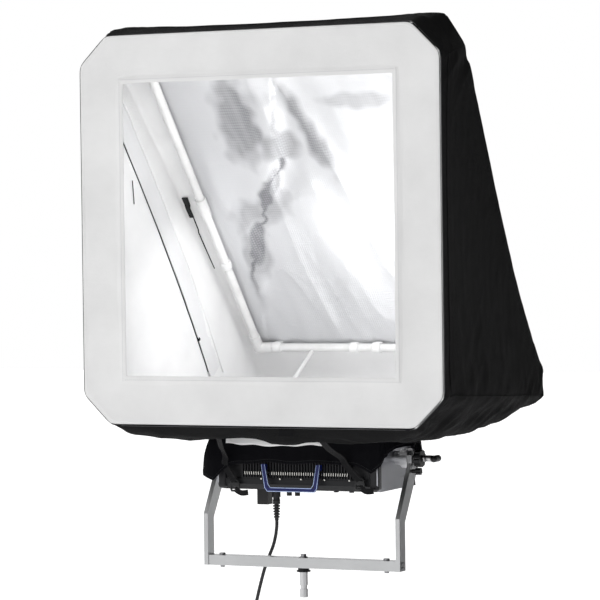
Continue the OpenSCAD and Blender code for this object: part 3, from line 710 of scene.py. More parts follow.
def bag_grid(inset, pouch):
    """Points and quads of the whole bag: sides, top and facets, then the slanted rear, then the underside."""
    front, rear = bag_corners(inset)
    rows = []
    for leg, count in enumerate((FACET_ROWS, KICK_ROWS, SIDE_ROWS, FACET_ROWS)):
        for k in range(count):
            t = k / count
            f, r = front[leg].lerp(front[leg + 1], t), rear[leg].lerp(rear[leg + 1], t)
            if leg == 2:
                r += EDGE_SAG * edge_pull(t)
            low = 1 - t if leg == 0 else 0.0
            rows.append((f, r, Vector((-1, 0, 0)), 0.014 * math.sin(math.pi * t) if leg == 2 else 0.0, low))
    side = len(rows)
    top = [(front[4], rear[4])]
    for k in range(1, TOP_COLS):
        t = k / TOP_COLS
        f, r = front[4].lerp(mirrored(front[4]), t), rear[4].lerp(mirrored(rear[4]), t)
        r.z -= TOP_SAG * math.sin(math.pi * t)
        top.append((f, r))
    rows += [(f, r, Vector((0, 0, -1)), 0.006 * math.sin(math.pi * k / TOP_COLS), 0.0)
             for k, (f, r) in enumerate(top)]
    right = rows[:side]
    rows.append((mirrored(front[4]), mirrored(rear[4]), Vector((0, 0, -1)), 0.0, 0.0))
    rows += [(mirrored(f), mirrored(r), mirrored(n), sag, low) for f, r, n, sag, low in reversed(right)]

    points, faces = [], []

    def add(grid, flip=False):
        start = len(points)
        width = len(grid[0])
        for line in grid:
            points.extend(line)
        for a, b, c, d in grid_faces(len(grid), width):
            quad = (a + start, b + start, c + start, d + start)
            faces.append(tuple(reversed(quad)) if flip else quad)

    strip = []
    for f, r, inward, sag, low in rows:
        line = []
        for j in range(DEPTH_STEPS + 1):
            t = j / DEPTH_STEPS
            p = f.lerp(r, t) + inward * (sag * math.sin(math.pi * t))
            p.z -= pouch * POUCH_SIDE * low * math.sin(math.pi * t)
            line.append(p)
        strip.append(line)
    add(strip, flip=True)

    rear_right = [line[-1] for line in strip[:side + 1]]
    back = []
    for p in rear_right:
        line = []
        for k in range(TOP_COLS + 1):
            t = k / TOP_COLS
            q = p.lerp(mirrored(p), t)
            if p is rear_right[-1]:
                q.z -= TOP_SAG * math.sin(math.pi * t)
            high = (q.z - KICK_TOP) / (ROOF - KICK_TOP)
            if 0 < high < 1:
                q.y += 0.010 * math.sin(math.pi * t) * math.sin(math.pi * high)
            line.append(q)
        back.append(line)
    add(back)

    # underside: rings from the outer edge in to the lamp's throat
    def throat(corner_a, corner_b, count):
        return [Vector(corner_a).lerp(Vector(corner_b), k / count) for k in range(count)]

    z = THROAT_Z + inset
    x = THROAT_X - inset
    near, far = THROAT_FRONT + inset, THROAT_REAR - inset
    outer = [front[0].lerp(mirrored(front[0]), k / TOP_COLS) for k in range(TOP_COLS)]
    inner = throat((x, near, z), (-x, near, z), TOP_COLS)
    outer += strip[-1][:-1]
    inner += throat((-x, near, z), (-x, far, z), DEPTH_STEPS)
    outer += list(reversed(back[0]))[:-1]
    inner += throat((-x, far, z), (x, far, z), TOP_COLS)
    outer += list(reversed(strip[0]))[:-1]
    inner += throat((x, far, z), (x, near, z), DEPTH_STEPS)
    rings = []
    for i in range(UNDER_RINGS + 1):
        t = i / UNDER_RINGS
        ring = []
        for k, (a, b) in enumerate(zip(outer, inner)):
            p = a.lerp(b, t)
            depth = POUCH_FRONT if k < TOP_COLS else POUCH_SIDE
            across = math.sin(math.pi * k / TOP_COLS) ** 0.5 if k < TOP_COLS else 1.0
            if k < TOP_COLS:
                lifted = 0.95 * math.exp(-((p.x + 0.03) / 0.27) ** 2)
                across *= 1 - lifted + 1.05 * math.exp(-((p.x - 0.045) / 0.11) ** 2)
            p.z -= pouch * depth * math.sin(math.pi * t ** 0.72) * (0.55 + 0.45 * across)
            ring.append(p)
        ring.append(ring[0])
        rings.append(ring)
    add(rings, flip=True)
    return points, faces


front_corners, REAR_CORNERS = bag_corners(0.0)
FRONT_CORNERS = [front_corners[k] for k in (0, 1, 3, 4)]


def near_corners(p):
    """1 at a sewn corner of the bag, fading to 0 about 30 cm away."""
    q = Vector((abs(p.x), p.y, p.z))
    rear = sum(math.exp(-((q - REAR_CORNERS[k]).length / 0.15) ** 2) for k in (1, 3, 4))
    front = sum(math.exp(-((q - c).length / 0.12) ** 2) for c in FRONT_CORNERS)
    return min(1.0, rear + 0.5 * front)


def folds(p, seed):
    """Wrinkle height of the bag's cloth: long hanging folds, creases at the corners and small puckers."""
    corner = near_corners(p)
    low = max(0.0, 1 - max(p.z, 0.0) / 0.22) * min(1.0, p.y / 0.06)
    patch = 0.5 + surface_noise((p.x, p.y, p.z), 1.9, seed + 3)
    amount = 0.10 + 0.42 * max(0.0, patch - 0.15) + 1.7 * corner + 1.3 * low
    warp = 0.09 * surface_noise((p.x, p.y, p.z), 3.1, seed + 9)
    hanging = ridged((p.x * 1.3 + warp, p.y * 1.3 + warp, p.z * 0.42 + p.y * 0.3), 3.6, seed)
    crossing = ridged((p.x + p.z * 0.8, p.y * 1.5 - p.z * 0.9 + warp, p.z * 0.45), 7.0, seed + 5)
    small = surface_noise((p.x, p.y, p.z), 33.0, seed + 7)
    return amount * (0.0050 * hanging + 0.0042 * crossing + 0.0011 * small - 0.0045)


def bag_cloth(name, inset, levels, material, seed, pouch=1.0, strength=1.0):
    points, faces = bag_grid(inset, pouch)
    mesh = bpy.data.meshes.new(name)
    mesh.from_pydata([tuple(p) for p in points], [], faces)
    bm = bmesh.new()
    bm.from_mesh(mesh)
    bmesh.ops.remove_doubles(bm, verts=bm.verts[:], dist=0.0004)
    bmesh.ops.recalc_face_normals(bm, faces=bm.faces[:])
    bm.to_mesh(mesh)
    bm.free()
    piece = finish_mesh(name, mesh, material)
    smoother = piece.modifiers.new("round", "SUBSURF")
    smoother.levels = smoother.render_levels = levels
    apply_modifiers(piece)
    mesh = piece.data
    # outwards from a point inside the bag
    centre = Vector((0, 0.45, 0.6))
    normals = [v.normal.copy() for v in mesh.vertices]
    if sum(n.dot(v.co - centre) for n, v in zip(normals, mesh.vertices)) < 0:
        mesh.flip_normals()
        normals = [-n for n in normals]
    for v, n in zip(mesh.vertices, normals):
        p = v.co.copy()
        held = min(1.0, max(0.0, p.y - 0.004) / 0.07)
        if p.z < THROAT_Z + 0.05:
            off = max(abs(p.x) - THROAT_X, THROAT_FRONT - p.y, p.y - THROAT_REAR)
            held *= min(1.0, max(0.0, off) / 0.05)
        v.co = bag(*(p + n * (folds(p, seed) * held * strength)))
    mesh.update()
    return piece


def surface_tree(piece):
    """The mesh of a piece, ready for finding its nearest points."""
    mesh = piece.data
    return BVHTree.FromPolygons([v.co for v in mesh.vertices], [p.vertices for p in mesh.polygons])


def on_surface(tree, path, lift):
    """Moves each point of a path on to the cloth, and lifts it off a little."""
    placed = []
    for p in path:
        spot, normal, _, _ = tree.find_nearest(p)
        placed.append(spot + normal * lift)
    return placed


def dense(points, step):
    """Straight runs between points, cut to steps of about a given length."""
    path = []
    for a, b in zip(points, points[1:]):
        a, b = Vector(a), Vector(b)
        count = max(1, round((b - a).length / step))
        path += [a.lerp(b, k / count) for k in range(count)]
    path.append(Vector(points[-1]))
    return path


def ribbon(name, path, normals, width, thick, material, body="head"):
    """A flat band along a path, facing the given normals."""
    points = []
    for i, (p, n) in enumerate(zip(path, normals)):
        along = (path[min(i + 1, len(path) - 1)] - path[max(i - 1, 0)]).normalized()
        side = along.cross(n).normalized()
        n = side.cross(along).normalized()
        for u, v in ((-0.5, 0.0), (-0.46, 1.0), (0.46, 1.0), (0.5, 0.0), (0.46, -0.2), (-0.46, -0.2)):
            points.append(p + side * (u * width) + n * (v * thick))
    faces = grid_faces(len(path), 6, wrap=True)
    last = (len(path) - 1) * 6
    faces += [tuple(reversed(range(6))), tuple(range(last, last + 6))]
    return mesh_piece(name, points, faces, material, body, smooth=False)


def stitches(name, path, normals, pitch, material, body="head", width=0.0011):
    """A row of raised thread stitches along a path."""
    points, faces = [], []
    travelled = 0.0
    for i in range(len(path) - 1):
        a, b = path[i], path[i + 1]
        run = (b - a).length
        if run < 1e-6:
            continue
        along = (b - a) / run
        side = along.cross(normals[i]).normalized()
        while travelled < run:
            start = a + along * travelled
            n = len(points)
            for t, lift in ((0.0, -0.0003), (0.32, 0.0009), (0.64, -0.0003)):
                spot = start + along * (t * pitch) + normals[i] * lift
                points += [spot - side * width / 2, spot + normals[i] * 0.0004, spot + side * width / 2]
            faces += [(n, n + 1, n + 4, n + 3), (n + 1, n + 2, n + 5, n + 4),
                      (n + 3, n + 4, n + 7, n + 6), (n + 4, n + 5, n + 8, n + 7)]
            travelled += pitch
        travelled -= run
    return mesh_piece(name, points, faces, material, body)


shell = bag_cloth("bag_shell", 0.0, 2, BLACK_CLOTH, seed=1.0)
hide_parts("shell_sides", "shell_corners", "shell_top", "shell_rear", "shell_kick", "shell_bottom")
lining = bag_cloth("bag_lining", 0.009, 1, LINING_CLOTH, seed=1.0, strength=0.8, pouch=0.35)
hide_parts("lining_sides", "lining_top")
for piece in (shell, lining):
    thicken(piece, 0.0008)
shell_tree = surface_tree(shell)
lining_tree = surface_tree(lining)


def octagon(half, low, high, cut, y):
    """The front's outline, closed, from the lower right corner round."""
    corners = [
        (half, y, low + cut), (half, y, high - cut), (half - cut, y, high), (-half + cut, y, high),
        (-half, y, high - cut), (-half, y, low + cut), (-half + cut, y, low), (half - cut, y, low),
    ]
    return [bag(*p) for p in corners + corners[:1]]


def side_normal(p):
    """Outwards across the bag's rim at a point of the front's outline."""
    x, z = p.x, p.z - BASE_Z - HALF
    if abs(x) + abs(z) > 2 * HALF - CUT - 0.03:
        return Vector((math.copysign(0.707, x), 0, math.copysign(0.707, z)))
    return Vector((math.copysign(1, x), 0, 0)) if abs(x) > abs(z) else Vector((0, 0, math.copysign(1, z)))


def make_rim():
    """The band behind the border: light piping near the front, and a welted seam with stitching behind it."""
    pieces = []
    for name, y, radius, material in (
        ("piping", 0.012, 0.0022, PIPING), ("rim_welt", 0.088, 0.0014, BLACK_CLOTH)
    ):
        path = on_surface(shell_tree, dense(octagon(HALF, 0.0, BAG_W, CUT, y), 0.02), radius * 0.5)
        pieces.append(tube(name, path[:-1], radius, material, sides=8, closed=True))
    path = on_surface(shell_tree, dense(octagon(HALF, 0.0, BAG_W, CUT, 0.095), 0.02), 0.0006)
    pieces.append(stitches("rim_stitches", path, [side_normal(p) for p in path], 0.009, THREAD))
    return pieces


def make_seams():
    """Welts along the bag's rear, top and foot edges."""
    _, rear = bag_corners(0.0)
    steps = 40
    pulled = [rear[2].lerp(rear[3], k / steps) + EDGE_SAG * edge_pull(k / steps) for k in range(steps + 1)]
    runs = {
        "seam_side": [rear[0], rear[1]] + pulled + [rear[4]],
        "seam_foot": [rear[2], mirrored(rear[2])],
        "seam_top": [rear[4], mirrored(rear[4])],
        "seam_shoulder": [Vector((HALF, 0.1, BAG_W - CUT)), rear[3]],
        "seam_hip": [Vector((HALF, 0.1, CUT)), rear[1]],
    }
    made = []
    for name, corners in runs.items():
        for side in (1, -1):
            if side < 0 and name in ("seam_foot", "seam_top"):
                continue
            line = [bag(side * p.x, p.y, p.z) for p in corners]
            path = on_surface(shell_tree, dense(line, 0.022), 0.0008)
            made.append(tube(name + ("_l" if side < 0 else ""), path, 0.0024, BLACK_CLOTH, sides=8))
    return made


rim = make_rim()
seams = make_seams()


# ---------- white border ----------
def make_border():
    """Octagonal cloth ring round a square window, hemmed, its outer edge turned back over the frame."""
    window = HALF - BORDER
    per_side = 56
    hem_rows = [0.0, 0.003, 0.016, 0.019, 0.022]
    steps = hem_rows + [0.22, 0.35, 0.5, 0.65, 0.8, 0.93, 1.0]
    height = [0.0012, 0.0016, 0.0016, 0.0014, 0.0003] + [0.0] * 7

    def around(half, k, cut=None):
        side, t = divmod(k, per_side)
        v = -1 + 2 * t / per_side
        x, z = ((1, v), (-v, 1), (-1, -v), (v, -1))[side % 4]
        x, z = x * half, z * half
        if cut:
            over = abs(x) + abs(z) - (2 * half - cut)
            if over > 0:
                x -= math.copysign(over / 2, x)
                z -= math.copysign(over / 2, z)
        return Vector((x, z))

    count = 4 * per_side
    rows = []
    for s, h in zip(steps, height):
        row = []
        for k in range(count):
            inner = around(window, k)
            outer = around(HALF - 0.004, k, CUT)
            mix = inner.lerp(outer, s)
            if s <= hem_rows[-1]:
                mix = inner + (outer - inner).normalized() * s
            p = Vector((mix.x, mix.y, 0))
            wave = 0.0016 * surface_noise(p, 3.0, 2) + 0.0003 * surface_noise(p, 15.0, 4)
            tug = 0.0016 * surface_noise(p, 7.0, 6) if s < 0.03 else 0.0
            slack = math.sin(math.pi * min(1.0, s)) * 0.002
            direction = Vector((mix.x, mix.y)).normalized()
            row.append(bag(mix.x + direction.x * tug, 0.003 - h + wave + slack,
                           mix.y + HALF + direction.y * tug))
        rows.append(row)
    for angle in (20, 45, 70, 90):
        a = math.radians(angle)
        grow, back = 0.004 * math.sin(a), 0.005 * (1 - math.cos(a))
        row = []
        for k in range(count):
            edge = around(HALF - 0.004 + grow, k, CUT)
            row.append(bag(edge.x, 0.003 + back, edge.y + HALF))
        rows.append(row)
    points = [p for row in rows for p in row]
    piece = mesh_piece("white_border", points, grid_faces(len(rows), count, wrap=True), WHITE_CLOTH)
    thicken(piece, 0.001, 0.0)
    line = [bag(x, 0.0, z + HALF) for x, z in (around(window + 0.014, k) for k in range(count + 1))]
    tree = surface_tree(piece)
    front = [Vector((p.x, FRONT_Y - 0.02, p.z)) for p in line]
    hits = [tree.ray_cast(p, Vector((0, 1, 0)))[0] or q for p, q in zip(front, line)]
    out = Vector((0, -1, 0))
    hem = stitches("border_stitches", [p + out * 0.0002 for p in hits], [out] * len(hits), 0.008, GREY_CLOTH)
    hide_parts("front_border")
    return piece


make_border()


# ---------- silver bounce sheet ----------
SHEET_OUT = Vector((0, -1, -REAR_SLOPE)).normalized()


def on_bounce(x, z, lift=0.0):
    """A point of the slanted sheet, from its place across and its height, lifted towards the front."""
    return bag(x, rear_y(z) - 0.030, z) + SHEET_OUT * lift


def crease(x, z, line, width):
    """Signed distance from a line of (x, z) points, in widths of the fold that runs along it."""
    best = 10.0
    side = 1
    for (ax, az), (bx, bz) in zip(line, line[1:]):
        dx, dz = bx - ax, bz - az
        t = max(0.0, min(1.0, ((x - ax) * dx + (z - az) * dz) / (dx * dx + dz * dz)))
        gap = math.hypot(x - ax - t * dx, z - az - t * dz)
        if gap < best:
            best = gap
            side = 1 if (x - ax) * dz - (z - az) * dx > 0 else -1
    return best * side / width


# patches of painted dark reflection on the sheet: (x, z), (half width, half height), lean, strength
PAINTED_DARK_PATCHES = [
    ((-0.255, 1.075), (0.062, 0.130), 0.20, 0.66),
    ((-0.225, 1.150), (0.085, 0.035), 0.0, 0.30),
    ((0.004, 1.040), (0.034, 0.105), -0.28, 0.66),
    ((-0.125, 0.980), (0.060, 0.042), 0.5, 0.50),
    ((-0.300, 0.755), (0.085, 0.060), 0.8, 0.45),
    ((-0.385, 0.600), (0.040, 0.090), 0.3, 0.40),
    ((0.215, 1.130), (0.110, 0.022), 0.0, 0.35),
    ((-0.360, 0.655), (0.024, 0.075), 0.4, 0.85),
    ((-0.195, 0.870), (0.020, 0.050), 0.6, 0.60),
]


def painted_dark_at(x, z, gap, crumple):
    """How dark the sheet is painted at a point: soft patches of painted dark reflection, a line of painted
    shade along the deep fold, and a little painted darkening along the crumple creases.
    """
    ragged = 0.42 * surface_noise((x, z, 0.2), 8.0, 41) + 0.26 * surface_noise((x, z, 0.2), 24.0, 43)
    thick = 0.07 + 0.20 * max(0.0, 0.25 + 1.3 * surface_noise((x, z, 0.2), 7.0, 45))
    shift = 0.40 * surface_noise((x, z, 0.2), 9.0, 47) + 0.16 * surface_noise((x, z, 0.2), 31.0, 53)
    fades_low = min(1.0, max(0.0, (z - 0.36) / 0.2))
    fades_high = 1.0 if z < 0.94 else 0.5
    # a line of painted shade along the deep fold
    painted_dark = 0.95 * math.exp(-((gap + shift) / thick) ** 2) * fades_low * fades_high
    # patches of painted dark reflection
    for (px, pz), (wide, tall), lean, strength in PAINTED_DARK_PATCHES:
        dz = (z - pz) / tall
        dx = (x - px - lean * (z - pz)) / wide
        away = math.hypot(dx, dz) + 1.6 * ragged
        painted_dark = max(painted_dark, strength * min(1.0, max(0.0, 1.45 - away) / 0.7))
    streak = 0.22 * surface_noise((x * 3.0 + z * 0.5, z * 0.5, 0.6), 13.0, 51)
    # a little painted darkening along the crumple creases
    return max(0.0, min(1.0, painted_dark * (1 + streak) + 0.10 * max(0.0, crumple)))


def make_silver():
    half = BOUNCE_HALF + 0.010
    low, high = BOUNCE_LOW - 0.010, BOUNCE_HIGH + 0.012
    columns, rows = 150, 170
    # the deep fold that hangs from the top edge, and the slack beside it
    fold = [(-0.10, 1.10), (-0.152, 0.928), (-0.267, 0.769), (-0.342, 0.697), (-0.414, 0.548),
            (-0.458, 0.376)]
    points, painted_dark = [], []
    for i in range(rows + 1):
        v = i / rows
        z = low + (high - low) * v
        for j in range(columns + 1):
            u = j / columns
            x = -half + 2 * half * u
            rim = min(1.0, 8 * min(u, 1 - u)) * min(1.0, 9 * min(v, 1 - v))
            q = Vector((x, z, 0))
            warp = 0.16 * surface_noise(q, 1.6, 21)
            big = surface_noise((x + warp, z * 0.8 - warp, 0.3), 2.6, 11)
            rays = ridged((x * 1.5 + z * 0.3 + warp, z * 0.32, 0.1), 4.2, 15)
            crumple = ridged((x * 2.2 + z * 0.9 + warp, z * 0.5 - x * 0.2, 0.7), 3.4, 17)
            fine = surface_noise((x * 1.4 + warp, z, 0.4), 19.0, 23)
            gap = crease(x, z, fold, 0.075)
            pleat = 0.024 * gap * math.exp(-gap * gap * 1.2)
            lift = rim * (0.008 * big + 0.005 * rays + 0.0032 * crumple + 0.0010 * fine + pleat + 0.006)
            # painted dark reflection and painted shade, per point, for the silver material
            painted_dark.append(painted_dark_at(x, z, gap, crumple))
            tight = 0.004 * math.cos(u * 60) * (1 - rim) ** 2
            points.append(on_bounce(x * (1 - 0.012 * math.sin(math.pi * v)), z, max(-0.006, lift) + tight))
    piece = mesh_piece("silver_bounce", points, grid_faces(rows + 1, columns + 1), SILVER)
    # the mask that paints dark reflections and shade on to the sheet
    painted_dark_mask = piece.data.attributes.new("painted_dark_mask", "FLOAT", "POINT")
    painted_dark_mask.data.foreach_set("value", painted_dark)
    thicken(piece, 0.0006, 0.0)
    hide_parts("bounce_sheet")
    edge = dense([on_bounce(-half, low), on_bounce(half, low), on_bounce(half, high), on_bounce(-half, high),
                  on_bounce(-half, low)], 0.03)
    binding = ribbon("silver_binding", edge, [SHEET_OUT] * len(edge), 0.020, 0.0022, LINING_CLOTH)
    return piece


make_silver()


# ---------- fittings inside the bag ----------
def on_side_lining(side, depth, height, lift):
    """A point on the inner face of a side lining."""
    target = bag(side * (half_at(depth) - 0.012), depth, height)
    return lining_tree.find_nearest(target)[0] + Vector((-side, 0, 0)) * lift


def make_side_details(side, tag):
    """The long slit with its cover strip, greyed with painted shade, and welt, a pull tab and its cord slot
    on one side lining.
    """
    def line(a, b, lift, count=40, bend=0.0):
        points = []
        for k in range(count + 1):
            t = k / count
            y, z = (a[0] + (b[0] - a[0]) * t, a[1] + (b[1] - a[1]) * t)
            points.append(on_side_lining(side, y + bend * math.sin(math.pi * t), z, lift))
        return points

    def rear_line(a, b, lift, count):
        points = []
        for k in range(count + 1):
            x, z = Vector(a).lerp(Vector(b), k / count)
            spot = lining_tree.find_nearest(bag(side * x, rear_y(z) - 0.016, z))[0]
            points.append(spot + SHEET_OUT * lift)
        return points

    facing = Vector((-side, 0, 0))
    slit = line((0.100, 1.215), (0.836, 0.146), 0.0022, bend=-0.006)
    ridge = line((0.134, 1.345), (0.948, 0.141), 0.0030)
    middle = [a.lerp(b, 0.5) for a, b in zip(slit, ridge)]
    made = [
        ribbon("slit_" + tag, slit, [facing] * len(slit), 0.0042, 0.0012, WEB_CLOTH),
        tube("lining_welt_" + tag, ridge, 0.0034, LINING_CLOTH, sides=8, up=(0, 0, 1)),
        # the cover strip is greyer than the lining around it: painted shade
        ribbon("slit_cover_" + tag, middle, [facing] * len(middle), 0.092, 0.0012, PAINTED_SHADE_CLOTH),
    ]
    knot = on_side_lining(side, 0.751, 0.274, 0.004)
    made.append(lathe("slit_knot_" + tag, [(0.001, -0.006), (0.006, -0.004), (0.008, 0.0), (0.006, 0.004),
                                           (0.001, 0.006)], knot, (0, 1, 0), WEB_CLOTH, sides=16))
    tab = rear_line((0.604, 0.800), (0.606, 0.731), 0.004, 8)
    made.append(ribbon("tab_" + tag, tab, [SHEET_OUT] * len(tab), 0.030, 0.003, BLACK_PLASTIC))
    slot = rear_line((0.598, 0.731), (0.596, 0.540), 0.003, 20)
    made.append(ribbon("slot_" + tag, slot, [SHEET_OUT] * len(slot), 0.0045, 0.0012, WEB_CLOTH))
    vent = line((0.296, 0.860), (0.302, 0.775), 0.003, 6)
    made.append(ribbon("vent_" + tag, vent, [facing] * len(vent), 0.004, 0.0012, WEB_CLOTH))
    return made


make_side_details(-1, "l")
make_side_details(1, "r")


def make_wraps():
    """Hook-and-loop loops that tie the sheet to the bounce frame's tubes."""
    low_y = rear_y(BOUNCE_LOW) - BOUNCE_GAP
    high_y = rear_y(BOUNCE_HIGH) - BOUNCE_GAP
    low = bag(0, low_y, BOUNCE_LOW)
    high = bag(0, high_y, BOUNCE_HIGH)
    along = (high - low).normalized()
    places = [(low + Vector((x, 0, 0)), Vector((1, 0, 0)), 0.034)
              for x in (-0.44, -0.116, -0.023, 0.14, 0.44)]
    places += [(high + Vector((x, 0, 0)), Vector((1, 0, 0)), 0.034) for x in (-0.4, -0.13, 0.13, 0.4)]
    places += [(low.lerp(high, 0.3) + Vector((side * BOUNCE_HALF, 0, 0)), along, 0.030) for side in (-1, 1)]
    pieces = []
    for k, (centre, axis, width) in enumerate(places, 1):
        r = TUBE_R + 0.0006
        w = width / 2
        profile = [(r, -w), (r + 0.003, -w), (r + 0.0045, -w * 0.6), (r + 0.0038, 0), (r + 0.0046, w * 0.6),
                   (r + 0.003, w), (r, w)]
        pieces.append(lathe("wrap_%d" % k, profile, centre, axis, WHITE_WRAP, sides=28))
        tail = SHEET_OUT * -1 if k % 2 == 0 else Vector((0, 0, 1))
        start = centre + tail * (r + 0.002)
        lug = [start, start + tail * 0.004]
        pieces.append(ribbon("wrap_lug_%d" % k, lug, [axis, axis], 0.012, width * 0.7, WHITE_WRAP))
    return pieces


make_wraps()


# ---------- skirt, hanging lining, straps ----------
def make_skirt():
    """Loose black cloth round the lamp's upper half; it hangs lower at the front and flares over the hubs."""
    x, near, far = THROAT_X - 0.001, THROAT_FRONT + FRONT_Y, THROAT_REAR + FRONT_Y
    corners = [(-x, near), (x, near), (x, far), (-x, far), (-x, near)]
    outline, outward = [], []
    counts = (110, 60, 110, 60)
    for (ax, ay), (bx, by), count in zip(corners, corners[1:], counts):
        for k in range(count):
            t = k / count
            outline.append(Vector((ax + (bx - ax) * t, ay + (by - ay) * t, 0)))
            face = Vector((by - ay, ax - bx, 0)).normalized()
            outward.append(face)
    total = len(outline)
    normals = []
    for k in range(total):
        n = Vector((0, 0, 0))
        for j in range(-3, 4):
            n += outward[(k + j) % total]
        normals.append(n.normalized())
    top = THROAT_Z + BASE_Z + 0.006
    steps = 18
    points = []
    for i in range(steps + 1):
        t = i / steps
        for k in range(total):
            p, n = outline[k], normals[k]
            front = max(0.0, -n.y)
            rear = max(0.0, n.y)
            side = abs(n.x)
            low = 0.388 * front + 0.388 * rear + 0.446 * side
            low /= front + rear + side
            left_corner = math.exp(-((p.x + x) ** 2 + (p.y - near) ** 2) / 0.0030)
            right_corner = math.exp(-((p.x - x) ** 2 + (p.y - near) ** 2) / 0.0042)
            right_hub = math.exp(-((p.x - x) ** 2 + (p.y - PIVOT_Y) ** 2) / 0.006)
            left_hub = math.exp(-((p.x + x) ** 2 + (p.y - PIVOT_Y) ** 2) / 0.006)
            low -= 0.072 * left_corner + 0.034 * right_corner
            hem = low + 0.004 * surface_noise(p, 9.0, 31) + 0.003 * math.sin(p.x * 34 + p.y * 21)
            z = top + (hem - top) * t
            flare = 0.004 + 0.010 * t * (0.6 + surface_noise(p, 11.0, 33))
            flare += 0.005 * t * ridged(p, 24.0, 35)
            flare += math.sin(min(1.0, 1.5 * t) * math.pi / 2) * 0.024 * left_corner
            flare += t * (0.050 * right_hub + 0.022 * left_hub)
            spot = Vector((p.x, p.y, z)) + n * flare
            spot.x = max(spot.x, -0.356) if spot.z < 0.44 else spot.x
            points.append(spot)
    piece = mesh_piece("skirt", points, grid_faces(steps + 1, total, wrap=True), SKIRT_CLOTH)
    thicken(piece, 0.0012)
    hem_line = points[-total:] + points[-total:-total + 1]
    lifted = [p + n * 0.0008 + Vector((0, 0, 0.010)) for p, n in zip(hem_line, normals + normals[:1])]
    hem = stitches("skirt_stitches", lifted, normals + normals[:1], 0.007, THREAD)
    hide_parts("collar_skirt")
    return piece


def make_lining_flap():
    """A wavy strip of the white lining that hangs out under the front pouch."""
    columns, rows = 90, 6
    points = []
    for i in range(rows + 1):
        for j in range(columns + 1):
            u = j / columns
            x = -0.255 + 0.385 * u
            high = 0.500
            low = 0.452 + 0.003 * math.cos(u * 6.3) + 0.002 * math.sin(u * 23 + 1)
            z = high + (low - high) * i / rows
            y = THROAT_FRONT + FRONT_Y - 0.030 + 0.004 * math.sin(u * 31) + 0.008 * (1 - i / rows)
            points.append(Vector((x, y, z)))
    piece = mesh_piece("lining_flap", points, grid_faces(rows + 1, columns + 1), LINING_CLOTH)
    thicken(piece, 0.0008)
    return piece


make_skirt()
make_lining_flap()

STRAP_W = 0.025


def make_strap(name, points, sign, tag):
    """Webbing from the bag's hem down to a buckle, stitched along both edges."""
    path = smooth_path([(x, PIVOT_Y + sign * (y - PIVOT_Y), z) for x, y, z in points], 8)
    facing = Vector((0, -sign, 0))
    strap = ribbon(name + tag, path, [facing] * len(path), STRAP_W, 0.0016, WEB_CLOTH)
    edges = []
    for k, offset in enumerate((-0.009, 0.009), 1):
        row = [p + Vector((offset, 0, 0)) + facing * 0.0018 for p in path]
        edges.append(stitches("%s_stitches%s_%d" % (name, tag, k), row, [facing] * len(row), 0.005, THREAD))
    return [strap, *edges]


def make_buckle(name, x, y, z, tag):
    """Side-release buckle: a framed body with a bar, and a clip with two sprung arms."""
    at = Vector((x, y, z))
    frame_section = rounded_box_section(0.0075, 0.0055, 0.0018, 2)
    body = [(-0.015, 0, 0.004), (0.015, 0, 0.004), (0.0165, 0, -0.008), (0.013, 0, -0.020),
            (-0.013, 0, -0.020), (-0.0165, 0, -0.008), (-0.015, 0, 0.004)]
    loop = dense([at + Vector(p) for p in body], 0.006)
    pieces = [
        sweep(name + "_body" + tag, loop, frame_section, BLACK_PLASTIC, up=(0, 1, 0), smooth=False),
        tube(name + "_bar" + tag, [at + Vector((-0.014, 0, -0.012)), at + Vector((0.014, 0, -0.012))], 0.0022,
             BLACK_PLASTIC, sides=10),
        block(name + "_plate" + tag, at + Vector((-0.0125, -0.0028, -0.005)),
              at + Vector((0.0125, 0.0028, 0.010)), BLACK_PLASTIC, bevel=0.0012),
    ]
    for side in (-1, 1):
        arm = smooth_path([at + Vector((side * 0.010, 0, 0.018)), at + Vector((side * 0.0155, 0, 0.008)),
                           at + Vector((side * 0.0135, 0, -0.002))], 5)
        section = rounded_box_section(0.004, 0.005, 0.0012, 2)
        pieces.append(sweep("%s_arm%s_%d" % (name, tag, side + 2), arm, section, BLACK_PLASTIC, up=(0, 1, 0)))
    loop_top = [at + Vector((-0.012, 0, 0.018)), at + Vector((0.012, 0, 0.018))]
    pieces.append(tube(name + "_eye" + tag, loop_top, 0.0026, BLACK_PLASTIC, sides=10))
    return pieces


def make_straps():
    y = PIVOT_Y - (LAMP_REAR - LAMP_FRONT) / 2 - 0.014
    reach = 0.055
    made, buckles = [], []
    left = [(-0.203, FRONT_Y + 0.090, 0.508), (-0.228, -0.185, 0.452), (-0.252, y - 0.040, 0.412),
            (-0.262, y - 0.024, 0.382), (-0.250, y - 0.012, 0.350), (-0.236, y - 0.002, 0.320)]
    right = [(0.172, FRONT_Y + 0.100, 0.508), (0.184, -0.185, 0.452), (0.196, y - 0.040, 0.414),
             (0.206, y - 0.024, 0.388), (0.228, y - 0.012, 0.358), (0.247, y - 0.002, 0.334)]
    for sign, tag in ((1, ""), (-1, "_rear")):
        for side, points, end in (("_left", left, (-0.235, 0.306)), ("_right", right, (0.248, 0.322))):
            made += make_strap("strap" + side, points, sign, tag)
            buckles += make_buckle("buckle" + side, end[0], PIVOT_Y + sign * (y - PIVOT_Y), end[1], tag)
            tail = [(end[0], y, end[1] - 0.014), (end[0] + reach * 0.5, y - 0.008, end[1] - 0.026),
                    (end[0] + reach, y - 0.008, end[1] - 0.024)]
            path = smooth_path([(a, PIVOT_Y + sign * (b - PIVOT_Y), c) for a, b, c in tail], 8)
            facing = [Vector((0, sign, 0))] * len(path)
            made.append(ribbon("tail" + side + tag, path, facing, 0.020, 0.0014, WEB_CLOTH))
    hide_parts("straps")
    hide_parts("strap_buckles")
    return made, buckles


make_straps()


